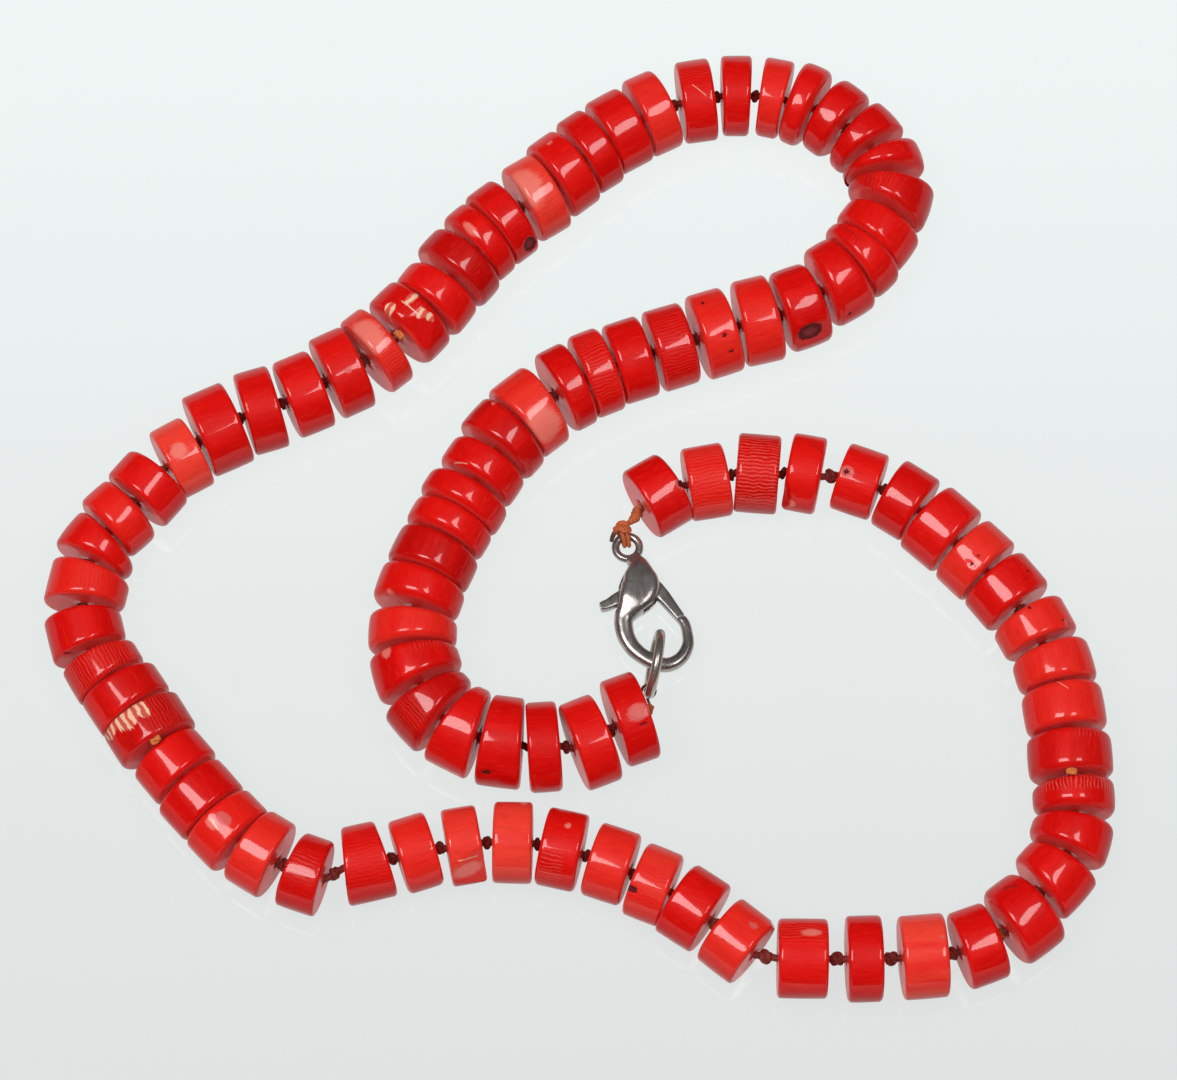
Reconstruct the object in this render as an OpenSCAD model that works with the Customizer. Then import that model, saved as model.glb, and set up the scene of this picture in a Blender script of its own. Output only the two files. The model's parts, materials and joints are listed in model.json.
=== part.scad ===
// Coral bead necklace with a lobster-claw clasp, lying closed on a flat surface.
// X runs to the right along the longest side, Y away, Z up. The origin is under the middle of the
// loop, on the surface that the beads rest on. All sizes are in millimetres.

/* [Coral beads] */
// Rounding of the edges of the beads
bead_edge = 1.1; // [0.7:0.1:1.2]
// Hole drilled through each bead
bore_d = 1.5; // [1.4:0.1:1.8]

/* [Thread] */
// Diameter of the thread inside the beads
thread_d = 0.85; // [0.6:0.05:0.95]
// Diameter of the knots between the beads
knot_d = 1.7; // [1.4:0.1:1.8]
// Longest knot between two beads
knot_l = 1.5; // [1:0.1:1.6]
// Diameter of the waxed cord where it ties the clasp's eye
cord_d = 0.9; // [0.6:0.05:0.95]
// Diameter of the finer turn of cord that ties the jump ring
fine_cord_d = 0.45; // [0.4:0.05:0.6]

/* [Clasp] */
// Height of the middle of the clasp above the surface
clasp_z = 2.35; // [2.3:0.05:2.6]
// Diameter through the middle of the wire of the clasp's eye
eye_d = 2.7; // [2.6:0.05:2.8]
// Wire of the clasp's eye
eye_wire = 0.9; // [0.8:0.05:0.95]
// Height of the slot that the lever turns in
slot_h = 1.6; // [1.55:0.05:1.8]
// Thickness of the lever
lever_h = 1.3; // [1:0.05:1.35]
// Rivet on which the lever turns
pin_d = 0.9; // [0.8:0.05:0.9]
// Hole in the lever for the rivet
pin_bore_d = 1.06; // [1.04:0.02:1.2]

/* [Jump ring] */
// Outer diameter of the jump ring
ring_d = 7.9; // [7.7:0.1:8.0]
// Wire of the jump ring
ring_wire = 1.1; // [0.9:0.05:1.15]
// How far the jump ring leans from upright
ring_lean = 6.5; // [4:0.5:10]

/* [Hidden] */

CORAL = "#d2261c";
DARK_THREAD = "#4a1210";
WAXED_CORD = "#c85f28";
NICKEL = "#6f6b68";

// Route of the thread as the necklace lies, from the bead at the jump ring to the one at the clasp.
ROUTE = [
    [7, -19.5], [0, -24], [-9.5, -23.9], [-17.2, -19.8], [-19.6, -11], [-17.4, -2.6],
    [-11.8, 8.4], [-6.3, 15.3], [0.9, 20.1], [9.1, 23.2], [19, 26.4], [24.5, 28.5], [31.2, 34.4],
    [34.8, 42.5], [31.8, 49.3], [25.5, 53.5], [17.5, 55], [7.5, 52.7], [0.5, 48], [-6, 42],
    [-12.1, 36.6], [-17.5, 29.5], [-24.3, 22.7], [-32.4, 17.6], [-41.8, 13.3], [-50, 6],
    [-54.9, -1], [-56.1, -11], [-51.4, -18.4], [-45.5, -26.6], [-39.4, -33.9], [-31, -38.8],
    [-25.1, -37.7], [-19, -36.4], [-8.5, -35.3], [2, -37.5], [11.3, -42.6], [16.5, -46.6],
    [23.5, -48.4], [36.5, -48.2], [42.5, -46.9], [47.4, -43.8], [52.8, -35.1], [53.2, -26],
    [51.7, -14.9], [47, -6.5], [40, 1], [35.8, 4.7], [30.5, 7.3], [19, 8], [8, 5.5], [4, 1.5]
];
// Distance along the route to the middle of the first bead
START = 3;

// One row a bead: width along the thread, diameter, distance to the next bead's middle along
// the thread, how far the bead is turned from the line of the thread, and how far its two faces
// lean towards each other on the left of the thread's way, the last two in degrees.
BEADS = [
    [3.7, 10.1, 5.23, -18, 0], [3.9, 10.1, 5.16, 5, -1], [3.5, 10, 4.48, 6, -1],
    [4.2, 10.2, 4.57, 5, -5], [3.5, 10, 4.39, -1, -10], [3.7, 10, 4.74, 2, -10],
    [3.9, 10, 4.29, 4, -8], [3.5, 9.9, 4.79, -2, -5], [3.9, 9.9, 4.27, -1, -4],
    [4.2, 9.8, 4.22, -2, -2], [3.3, 9.6, 3.45, -2, -1], [3.2, 10, 4.29, -2, 0],
    [3.7, 9.5, 4.41, -1, -1], [3.8, 10, 4.45, -3, -4], [4.4, 9.9, 5.2, -4, -4],
    [3.1, 10, 3.79, -3, -2], [3.5, 9.9, 4.22, -4, 0], [4.1, 9.5, 4.92, -1, 0],
    [4.3, 9.6, 5.23, -1, 0], [4.1, 10, 5.04, 1, 0], [4.2, 10, 5.2, -4, 2], [4.5, 9.6, 5.4, -9, 3],
    [4.2, 9.7, 3.93, -9, 6], [3, 9.8, 3.71, -7, 5], [3.9, 9.5, 4.6, -7, 5],
    [3.4, 9.8, 4.25, -10, 10], [2.5, 9.5, 4.05, -8, 10], [3.3, 9.2, 4.32, -2, 8],
    [3.5, 9.2, 3.95, -8, 4], [3, 9.8, 3.64, -5, 4], [3, 9.3, 4.35, -1, 3], [3.3, 9.4, 4.69, -4, 2],
    [3.8, 9.6, 5.37, -4, 0], [3.6, 9.6, 4.5, 3, 0], [4.2, 9.4, 4.3, -6, 0], [3.3, 9.7, 4.16, -4, 0],
    [3.8, 9.8, 4.36, -6, 0], [3.9, 9.6, 4.98, -9, 0], [3.5, 9.7, 3.54, -2, 2],
    [3.2, 9.7, 4.02, -6, 2], [3.6, 10, 4.46, -4, 1], [3.7, 9.4, 4.31, 5, -2],
    [4.1, 9.8, 5.14, 2, 0], [3, 10, 4.72, 1, 0], [4, 9.9, 5.01, -5, 0], [4.3, 9.2, 5.18, -4, 0],
    [4, 9.6, 5.4, -4, 0], [4.8, 9.8, 5.21, -8, 0], [4, 8.6, 5.24, -12, 0], [4, 8.7, 4.82, 4, 0],
    [4, 8.6, 4.42, -9, 0], [3.4, 9, 4.69, -16, 10], [4, 9, 5.37, -3, 7], [4.3, 8.6, 4.8, 2, 6],
    [3.5, 8.6, 4.27, -7, 5], [4.1, 9.1, 4.63, -1, 3], [4.4, 9.4, 4.9, -3, 0],
    [4.3, 8.6, 4.95, 3, 0], [4.5, 8.8, 4.63, 4, 0], [4.1, 9, 4.61, -5, 3], [3.9, 9.1, 5.51, 0, 4],
    [3.9, 8.6, 6.56, -8, 4], [4.6, 8.7, 5.66, 0, 6], [4.1, 8.3, 5.3, 9, 0], [3.8, 8.6, 5.4, 3, 0],
    [4.3, 9, 5.45, 2, 0], [4.4, 8.7, 5.61, 0, 0], [4.5, 8.3, 5.18, 3, 0], [4.2, 8.4, 5.12, 8, 0],
    [4.6, 8.6, 5.96, 0, 0], [4.8, 8.3, 7.51, -9, 0], [5.4, 8.7, 6.69, 4, 0], [3.8, 9.4, 6.46, 0, 0],
    [4.9, 9.2, 6.12, 0, 0], [4.2, 8.7, 5.89, -1, 2], [4.8, 9.4, 5.93, -11, 3],
    [4.4, 8.6, 4.86, -10, 8], [3.8, 9, 4.43, -1, 7], [3.5, 9.1, 4.74, 1, 4],
    [4.7, 9.4, 5.44, -1, 0], [4.8, 9.1, 5.08, 1, 1], [4.3, 8.9, 5.02, -2, 4],
    [3.9, 8.7, 5.43, -4, 4], [4.7, 8.7, 5.05, 0, 2], [4.2, 8.8, 5.25, 0, 0], [4.8, 8.9, 5.33, 2, 0],
    [4.3, 8.3, 5.64, 1, 2], [4.6, 7.8, 6.29, -8, 0], [3.8, 8.9, 5.3, -8, 0], [4.8, 9, 5.82, -9, 0],
    [4.6, 8.4, 5.8, -2, 0], [4.5, 8.6, 0, 6, 0]
];
LOWER_FROM = 46;

// Middle of the clasp's eye and of the jump ring as they lie, and the jump ring's heading.
CLASP_AT = [4.4, -0.1];
RING_AT = [7.35, -14.45];
RING_HEADING = 81;
RING_LIFT = 0.05;

// Clasp, from the middle of its eye. One row a section from the neck round to the hook's tip:
// x, y, width across and height.
HOOK = [
    [0.5, -1.2, 1.5, 1.5], [1.15, -2.25, 2.5, 2.8], [1.35, -3.55, 3.7, 3.3], [1.47, -4.65, 4.3, 3.4],
    [1.2, -5.55, 4.3, 3.4], [0.6, -6.55, 3.6, 3.3], [0, -7.55, 2.75, 2.8], [-0.4, -8.4, 2.25, 2.3],
    [-0.45, -9.25, 2.1, 2.1], [-0.1, -10.8, 2, 1.9], [0.85, -12.25, 1.8, 1.8], [2.5, -13.45, 1.7, 1.7],
    [4.3, -13.95, 1.6, 1.7], [5.85, -13.25, 1.5, 1.7], [6.7, -11.7, 1.35, 1.6],
    [6.65, -10.1, 1.25, 1.5], [6.1, -8.82, 1.15, 1.4]
];
// Slot through the clasp's body, open on the thumb's side and on the gate's side.
SLOT = [
    [-3.4, -7.65], [-1.2, -7.55], [0, -6.65], [1.2, -6.35], [1.6, -7.65], [4.6, -8.55], [5.1, -4.05],
    [4.6, -3.25], [2.2, -2.85], [0.1, -2.45], [-3.4, -2.45]
];
// The rivet, and the lever's two arms from it: x, y and width across.
PIN_AT = [2.2, -4.25];
HUB_D = 2.3;
RIVET_DOWN = 1.66;
RIVET_UP = 0.4;
RIVET_PLAY = 0.04;
GATE = [[2.2, -4.25, 1.9], [3.1, -4.9, 1.8], [4.1, -6, 1.55], [5, -7.2, 1.3], [5.93, -8.45, 1.1]];
THUMB = [[2.2, -4.25, 1.9], [0.8, -5.15, 1.8], [-1.1, -6.2, 1.5], [-2.1, -6.7, 1.05],
    [-2.85, -6.9, 0.6]];

// Cords at the two ends: x, y, height and diameter along each, through its knot. The one at the
// clasp goes on over the wire of the eye, through it and back under it to its sealed tip.
CLASP_CORD = [[5.5, 3.75, 4.2, 0.85], [5.38, 3.1, 3.85, 1.2], [4.8, 2.6, 3.6, 1.3], [4.3, 2.3, 3.5, 1.45],
    [3.9, 2, 3.45, 1.5]];
EYE_TURN = [[3.95, 1.45, 3.45], [4.22, 0.7, 3.22], [4.35, 0.13, 2.35], [4.22, 0.7, 1.42], [4.05, 1.5, 1.27],
    [3.5, 2.1, 1.6], [3, 1.9, 2.4], [2.78, 1.25, 3.1], [2.6, 0.45, 3.35]];
RING_CORD = [[6.78, -20.12, 4.85, 0.9], [6.8, -19.65, 4.5, 1.1], [6.85, -19.2, 3.7, 1.1],
    [6.78, -18.75, 2.7, 0.7]];
LOOP_GAP = 0.12;
RING_LOOP_ANGLE = 222;
RING_TURN = 280;
TURN_STEP = 40;

SPAN_STEPS = 12;
TANGENT = 1;
SIDE_SPARE = 1;
THREAD_SIDES = 6;
CORD_SIDES = 8;
CORD_STEPS = 3;
KNOT_CLEAR = 0.16;
END_GAP = 0.15;
KNOT_FROM = 0.3;
KNOT_SHAPE = [[-0.5, 0], [-0.25, 1], [0.25, 1], [0.5, 0]];
BAR_SIDES = 14;
BAR_STEPS = 3;
FULLNESS = 0.7;

// Smooth curve through the rows of a table, in as many dimensions as a row has.
function row(t, i) =
    i < 0 ? 2 * t[0] - t[1] :
    i >= len(t) ? 2 * t[len(t) - 1] - t[len(t) - 2] : t[i];
function curve(a, b, c, d, t) =
    0.5 * (2 * b + (c - a) * t + (2 * a - 5 * b + 4 * c - d) * t * t
        + (3 * b - a - 3 * c + d) * t * t * t);
function smooth(t, steps) = concat(
    [for (i = [0:len(t) - 2]) for (k = [0:steps - 1])
        curve(row(t, i - 1), t[i], t[i + 1], row(t, i + 2), k / steps)],
    [t[len(t) - 1]]);
function running(steps) = [for (i = 0, s = 0; i < len(steps); s = s + steps[i], i = i + 1) s];

// The route by its length, and each bead's place, heading and direction on it.
line = smooth(ROUTE, SPAN_STEPS);
line_s = running([for (i = [0:len(line) - 1]) i < len(line) - 1 ? norm(line[i + 1] - line[i]) : 0]);
line_x = [for (i = [0:len(line) - 1]) [line_s[i], line[i].x]];
line_y = [for (i = [0:len(line) - 1]) [line_s[i], line[i].y]];
function on_route(s) = [lookup(s, line_x), lookup(s, line_y)];
bead_s = running([for (b = BEADS) b[2]]);
bead_at = [for (s = bead_s) on_route(START + s)];
heading = [for (i = [0:len(BEADS) - 1])
    let (d = on_route(START + bead_s[i] + TANGENT) - on_route(START + bead_s[i] - TANGENT))
    atan2(d.y, d.x) + BEADS[i][3]];
function ahead(i) = [cos(heading[i]), sin(heading[i])];
function face(i, end) = bead_at[i] + end * ahead(i) * BEADS[i][0] / 2;
function middle_z(i) = BEADS[i][1] / 2;
function widest(b) = b[0] + b[1] * abs(tan(b[4]));

// How far a bead reaches from its middle along a direction of the plan.
function reach(i, a) =
    abs(cos(heading[i] - a)) * (widest(BEADS[i]) / 2 - bead_edge)
    + abs(sin(heading[i] - a)) * (BEADS[i][1] / 2 - bead_edge) + bead_edge;
all_beads = [0:len(BEADS) - 1];
low = [min([for (i = all_beads) bead_at[i].x - reach(i, 0)]),
    min([for (i = all_beads) bead_at[i].y - reach(i, 90)])];
high = [max([for (i = all_beads) bead_at[i].x + reach(i, 0)]),
    max([for (i = all_beads) bead_at[i].y + reach(i, 90)])];
loop_middle = (low + high) / 2;

module in_place() {
    translate([-loop_middle.x, -loop_middle.y, 0]) children();
}

module in_clasp() {
    in_place() translate([CLASP_AT.x, CLASP_AT.y, clasp_z]) children();
}

// Drilled disc with rounded edges, its axis along X.
module barrel(width, diameter) {
    flat_r = diameter / 2 - bead_edge;
    bore_r = bore_d / 2;
    rotate([0, 90, 0]) rotate_extrude($fn = 48) {
        translate([bore_r, -width / 2]) square([flat_r - bore_r, width]);
        translate([bore_r, bead_edge - width / 2]) square([diameter / 2 - bore_r, width - 2 * bead_edge]);
        for (side = [-1, 1])
            translate([flat_r, side * (width / 2 - bead_edge)]) circle(bead_edge, $fn = 24);
    }
}

// Plan of the space between a bead's two faces, which lean towards each other.
module between_faces(width, diameter, lean) {
    side = diameter / 2 + SIDE_SPARE;
    polygon([for (end = [[1, 1], [-1, 1], [-1, -1], [1, -1]])
        [end.x * (width / 2 - end.y * side * tan(lean)), end.y * side]]);
}

module bead(b) {
    if (b[4] == 0)
        barrel(b[0], b[1]);
    else
        intersection() {
            barrel(widest(b), b[1]);
            translate([0, 0, -b[1]]) linear_extrude(2 * b[1]) between_faces(b[0], b[1], b[4]);
        }
}

module beads(first, last) {
    color(CORAL) in_place()
        for (i = [first:last])
            translate([bead_at[i].x, bead_at[i].y, middle_z(i)]) rotate(heading[i]) bead(BEADS[i]);
}

module coral_beads_upper() {
    beads(0, LOWER_FROM - 1);
}

module coral_beads_lower() {
    beads(LOWER_FROM, len(BEADS) - 1);
}

// Closed skin over rings of points, each ring with the same count, in order along the piece.
module skin(rings) {
    sides = len(rings[0]);
    last = len(rings) - 1;
    polyhedron(
        points = [for (ring = rings) each ring],
        faces = concat(
            [[for (k = [sides - 1:-1:0]) k]],
            [for (i = [0:last - 1]) for (k = [0:sides - 1]) let (n = (k + 1) % sides)
                [i * sides + k, i * sides + n, (i + 1) * sides + n, (i + 1) * sides + k]],
            [[for (k = [0:sides - 1]) last * sides + k]]));
}

// Ring of a thread or cord at c, across the direction aim, that starts on its given side.
function across(v, aim) =
    let (a = aim / norm(aim), flat_v = v - (v * a) * a)
    flat_v / norm(flat_v);
function cord_ring(c, aim, side, d, sides) =
    let (up = cross(side, aim / norm(aim)))
    [for (k = [0:sides - 1]) c + d / 2 * (side * cos(360 * k / sides) + up * sin(360 * k / sides))];
function flat(p, z) = [p.x, p.y, z];
function with_d(points, d) = [for (p = points) [p.x, p.y, p.z, d]];

// Rings of the knot between bead i and the next, none where their faces leave no room for one.
function knot_rings(i) =
    let (from = flat(face(i, 1), middle_z(i)), to = flat(face(i + 1, -1), middle_z(i + 1)),
        facing = [heading[i] + BEADS[i][4], heading[i + 1] - BEADS[i + 1][4]],
        way = (facing[0] + facing[1]) / 2, along = [cos(way), sin(way), 0],
        slip = norm(cross(along, to - from)), steep = abs(tan((facing[1] - facing[0]) / 2)),
        room = (to - from) * along - 2 * KNOT_CLEAR - (knot_d + slip) * steep, length = min(room, knot_l))
    length < KNOT_FROM ? [] :
    [for (k = KNOT_SHAPE) cord_ring((from + to) / 2 + along * length * k[0], along,
        across([0, 0, 1], along), thread_d + (knot_d - thread_d) * k[1], THREAD_SIDES)];

module thread() {
    rings = [for (i = all_beads) each concat(
        [for (end = [-1, 1])
            cord_ring(flat(face(i, end), middle_z(i)), flat(ahead(i), 0), [0, 0, 1], thread_d,
                THREAD_SIDES)],
        i < len(BEADS) - 1 ? knot_rings(i) : [])];
    color(DARK_THREAD) in_place() skin(rings);
}

// Short cord from a bead's hole through a table of points. Each ring's side is carried on from the
// ring before, so the cord doesn't twist where it turns down.
module end_cord(start, aim, points) {
    out = start + aim * END_GAP;
    path = smooth(concat([[out.x, out.y, out.z, thread_d]], points), CORD_STEPS);
    last = len(path) - 1;
    spots = [for (p = path) [p.x, p.y, p.z]];
    ways = [for (i = [0:last]) i == 0 ? aim : spots[min(i + 1, last)] - spots[i - 1]];
    sides = [for (i = 0, s = across([0, 0, 1], aim); i <= last;
        i = i + 1, s = across(s, ways[min(i, last)])) s];
    skin([for (i = [0:last]) cord_ring(spots[i], ways[i], sides[i], path[i][3], CORD_SIDES)]);
}

module clasp_cord() {
    last = len(BEADS) - 1;
    color(WAXED_CORD) in_place() end_cord(flat(face(last, 1), middle_z(last)), flat(ahead(last), 0),
        concat(CLASP_CORD, with_d(EYE_TURN, cord_d)));
}

// The jump ring's middle, the three directions of its own frame, and a point beside its wire.
ring_r = (ring_d - ring_wire) / 2;
ring_middle = [RING_AT.x, RING_AT.y, ring_r * cos(ring_lean) + ring_wire / 2 + RING_LIFT];
ring_ahead = [cos(RING_HEADING), sin(RING_HEADING), 0];
ring_up = [sin(ring_lean) * sin(RING_HEADING), -sin(ring_lean) * cos(RING_HEADING), cos(ring_lean)];
ring_side = cross(ring_ahead, ring_up);
function by_wire(off, turn) =
    ring_middle + (ring_r + off * cos(turn)) * (cos(RING_LOOP_ANGLE) * ring_ahead
        + sin(RING_LOOP_ANGLE) * ring_up) + off * sin(turn) * ring_side;

module ring_cord() {
    off = (ring_wire + fine_cord_d) / 2 + LOOP_GAP;
    turns = [for (turn = [0:TURN_STEP:RING_TURN]) by_wire(off, turn)];
    color(WAXED_CORD) in_place() end_cord(flat(face(0, -1), middle_z(0)), -flat(ahead(0), 0),
        concat(RING_CORD, with_d(turns, fine_cord_d)));
}

// Flat bar along the rows of a table of x, y, width and height.
module bar(table) {
    path = smooth(table, BAR_STEPS);
    last = len(path) - 1;
    skin([for (i = [0:last])
        let (step = path[min(i + 1, last)] - path[max(i - 1, 0)], run = norm([step.x, step.y]),
            side = [step.y, -step.x] / run)
        [for (k = [0:BAR_SIDES - 1])
            let (c = cos(360 * k / BAR_SIDES), s = sin(360 * k / BAR_SIDES),
                across = sign(c) * pow(abs(c), FULLNESS) * path[i][2] / 2,
                up = sign(s) * pow(abs(s), FULLNESS) * path[i][3] / 2)
            [path[i].x + side.x * across, path[i].y + side.y * across, up]]]);
}

// Rivet from the underside of the body up into the plate over the slot.
module rivet(d, play) {
    translate([PIN_AT.x, PIN_AT.y, -RIVET_DOWN - play])
        cylinder(d = d, h = RIVET_DOWN + slot_h / 2 + RIVET_UP + 2 * play, $fn = 32);
}

module clasp_body() {
    color(NICKEL) in_clasp() difference() {
        union() {
            rotate_extrude($fn = 48) translate([eye_d / 2, 0]) circle(d = eye_wire, $fn = 24);
            bar(HOOK);
        }
        translate([0, 0, -slot_h / 2]) linear_extrude(slot_h) polygon(SLOT);
        rivet(pin_d + RIVET_PLAY, RIVET_PLAY);
    }
}

module clasp_lever() {
    arms = [GATE, THUMB];
    color(NICKEL) in_clasp() difference() {
        union() {
            for (arm = arms) bar([for (p = arm) [p.x, p.y, p[2], lever_h]]);
            translate([PIN_AT.x, PIN_AT.y, -lever_h / 2]) cylinder(d = HUB_D, h = lever_h, $fn = 48);
        }
        translate([PIN_AT.x, PIN_AT.y, -lever_h]) cylinder(d = pin_bore_d, h = 2 * lever_h, $fn = 32);
    }
}

module clasp_pin() {
    color(NICKEL) in_clasp() rivet(pin_d, 0);
}

module jump_ring() {
    color(NICKEL) in_place() translate(ring_middle) rotate([90 + ring_lean, 0, RING_HEADING])
        rotate_extrude($fn = 64) translate([ring_r, 0]) circle(d = ring_wire, $fn = 24);
}

coral_beads_upper();
coral_beads_lower();
thread();
clasp_cord();
ring_cord();
clasp_body();
clasp_lever();
clasp_pin();
jump_ring();
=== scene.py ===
import json
import math
import bmesh
import bpy
import numpy as np
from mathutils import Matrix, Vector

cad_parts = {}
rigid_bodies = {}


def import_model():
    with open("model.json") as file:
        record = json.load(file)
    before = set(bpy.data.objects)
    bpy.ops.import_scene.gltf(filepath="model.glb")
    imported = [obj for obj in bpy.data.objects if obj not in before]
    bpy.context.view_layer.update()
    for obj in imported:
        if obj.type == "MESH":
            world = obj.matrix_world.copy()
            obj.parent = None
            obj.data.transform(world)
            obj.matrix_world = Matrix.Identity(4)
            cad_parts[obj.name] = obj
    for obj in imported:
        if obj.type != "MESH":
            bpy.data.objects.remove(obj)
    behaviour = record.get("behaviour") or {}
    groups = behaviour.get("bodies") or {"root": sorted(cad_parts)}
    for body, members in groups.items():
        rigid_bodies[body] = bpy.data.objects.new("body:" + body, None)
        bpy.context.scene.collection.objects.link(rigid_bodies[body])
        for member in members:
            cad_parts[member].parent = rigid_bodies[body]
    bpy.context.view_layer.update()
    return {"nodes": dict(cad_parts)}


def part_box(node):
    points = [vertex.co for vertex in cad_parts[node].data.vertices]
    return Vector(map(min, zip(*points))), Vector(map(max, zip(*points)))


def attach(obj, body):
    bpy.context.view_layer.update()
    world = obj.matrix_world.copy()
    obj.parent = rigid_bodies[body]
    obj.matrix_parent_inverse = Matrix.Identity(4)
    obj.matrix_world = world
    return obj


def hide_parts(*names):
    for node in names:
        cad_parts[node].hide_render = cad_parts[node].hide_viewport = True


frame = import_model()
scene = bpy.context.scene
mm = 0.001
print("frame loaded:", ", ".join(sorted(frame["nodes"])))

# Places below are in millimetres on the photograph's own grid; the part's origin is the middle of the loop.
gridZero = np.array([1.3961, -3.2363, 0.0])
view = {"elevation": 70, "distance": 514, "look": (0, 0, 4.6), "pixelsPerMm": 8.9, "imageWidth": 1177}


# Camera


def backDirection():
    # unit vector from the looked-at point to the camera
    tilt = math.radians(view["elevation"])
    return np.array([0, -math.cos(tilt), math.sin(tilt)])


def lookPoint():
    return np.array(view["look"]) + gridZero


def addCamera():
    data = bpy.data.cameras.new("camera")
    data.sensor_width = 36
    data.lens = data.sensor_width * view["pixelsPerMm"] * view["distance"] / view["imageWidth"]
    data.clip_start, data.clip_end = 0.01, 20
    camera = bpy.data.objects.new("camera", data)
    scene.collection.objects.link(camera)
    camera.location = (lookPoint() + backDirection() * view["distance"]) * mm
    camera.rotation_euler = (math.radians(90 - view["elevation"]), 0, 0)
    scene.camera = camera


addCamera()
print("camera placed")


# Meshes


def smoothObject(name, points, quads, loose=None):
    # points in millimetres; quads by rows of four corners; loose adds caps with other corner counts
    mesh = bpy.data.meshes.new(name)
    faces = quads.tolist() + (loose or [])
    mesh.from_pydata((points * mm).tolist(), [], faces)
    mesh.polygons.foreach_set("use_smooth", np.ones(len(mesh.polygons), bool))
    mesh.update()
    made = bpy.data.objects.new(name, mesh)
    scene.collection.objects.link(made)
    return made


def gridQuads(rows, columns, wrapRows, wrapColumns):
    # corner numbers of the squares of a grid, closed on itself where it wraps
    i = np.arange(rows if wrapRows else rows - 1)[:, None]
    k = np.arange(columns if wrapColumns else columns - 1)[None, :]
    ni, nk = (i + 1) % rows, (k + 1) % columns
    quads = [i * columns + k, i * columns + nk, ni * columns + nk, ni * columns + k]
    return np.stack([np.broadcast_to(q, (i.size, k.size)) for q in quads], -1).reshape(-1, 4)


def setAttribute(made, name, kind, values):
    field = {"FLOAT": "value", "FLOAT_VECTOR": "vector", "FLOAT_COLOR": "color"}[kind]
    made.data.attributes.new(name, kind, "POINT").data.foreach_set(
        field, np.ascontiguousarray(values, np.float32).ravel())


def wear(made, material, body, slot, *nodes):
    made.data.materials.append(material)
    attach(made, body)
    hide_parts(*nodes)


# Shader helpers


def addNode(tree, kind, settings=None, **inputs):
    node = tree.nodes.new("ShaderNode" + kind)
    for key, value in (settings or {}).items():
        setattr(node, key, value)
    for key, value in inputs.items():
        socket = node.inputs[int(key[1:])] if key[0] == "i" and key[1:].isdigit() else node.inputs[key]
        if isinstance(value, bpy.types.NodeSocket):
            tree.links.new(value, socket)
        else:
            socket.default_value = value
    return node


def maths(tree, operation, a, b=0.0, clamp=False):
    return addNode(tree, "Math", {"operation": operation, "use_clamp": clamp}, i0=a, i1=b).outputs[0]


def times(tree, a, b, clamp=False):
    return maths(tree, "MULTIPLY", a, b, clamp)


def plus(tree, a, b, clamp=False):
    return maths(tree, "ADD", a, b, clamp)


def noise(tree, place, scale, detail=2.0, roughness=0.5):
    return addNode(tree, "TexNoise", Vector=place, Scale=scale, Detail=detail,
                   Roughness=roughness).outputs["Fac"]


def stretch(tree, place, shares):
    return addNode(tree, "VectorMath", {"operation": "MULTIPLY"}, i0=place, i1=shares).outputs[0]


def step(tree, value, low, high):
    # smooth rise from 0 at low to 1 at high, or a fall where low is above high
    if low > high:
        rise = step(tree, value, high, low)
        return maths(tree, "SUBTRACT", 1.0, rise)
    node = addNode(tree, "MapRange", {"interpolation_type": "SMOOTHSTEP"}, i0=value, i1=low, i2=high)
    return node.outputs[0]


def blendColor(tree, share, a, b, way="MIX"):
    node = addNode(tree, "Mix", {"data_type": "RGBA", "blend_type": way, "clamp_factor": True}, i0=share)
    for index, value in ((6, a), (7, b)):
        if isinstance(value, bpy.types.NodeSocket):
            tree.links.new(value, node.inputs[index])
        else:
            node.inputs[index].default_value = (*value, 1)
    return node.outputs[2]


def readAttribute(tree, name, output):
    return addNode(tree, "Attribute", {"attribute_name": name}).outputs[output]


def newMaterial(name):
    material = bpy.data.materials.new(name)
    material.use_nodes = True
    return material, material.node_tree, material.node_tree.nodes["Principled BSDF"]


def newGroup(name, inputs, outputs):
    tree = bpy.data.node_groups.new(name, "ShaderNodeTree")
    for socketName, kind, value in inputs:
        socket = tree.interface.new_socket(socketName, in_out="INPUT", socket_type="NodeSocket" + kind)
        if value is not None:
            socket.default_value = value
    for socketName, kind in outputs:
        tree.interface.new_socket(socketName, in_out="OUTPUT", socket_type="NodeSocket" + kind)
    return tree, tree.nodes.new("NodeGroupInput").outputs, tree.nodes.new("NodeGroupOutput").inputs


def useGroup(tree, group, **inputs):
    node = tree.nodes.new("ShaderNodeGroup")
    node.node_tree = group
    for key, value in inputs.items():
        if isinstance(value, bpy.types.NodeSocket):
            tree.links.new(value, node.inputs[key])
        else:
            node.inputs[key].default_value = value
    return node.outputs


# The beads as the frame holds them


def looseSolids(node):
    # corners at the same place are merged, then the lowest corner number spreads over each solid
    mesh = frame["nodes"][node].data
    flat = np.empty(len(mesh.vertices) * 3, np.float32)
    mesh.vertices.foreach_get("co", flat)
    corners = np.empty(len(mesh.loops), np.int32)
    mesh.loops.foreach_get("vertex_index", corners)
    points, place = np.unique(np.round(flat.reshape(-1, 3) / mm, 4), axis=0, return_inverse=True)
    triangles = place.ravel()[corners].reshape(-1, 3)
    label = np.arange(len(points))
    while True:
        spread = label.copy()
        np.minimum.at(spread, triangles.ravel(), np.repeat(label[triangles].min(1), 3))
        spread = spread[spread]
        if (spread == label).all():
            break
        label = spread
    _, owner = np.unique(label, return_inverse=True)
    return points, triangles, owner.ravel()


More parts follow.
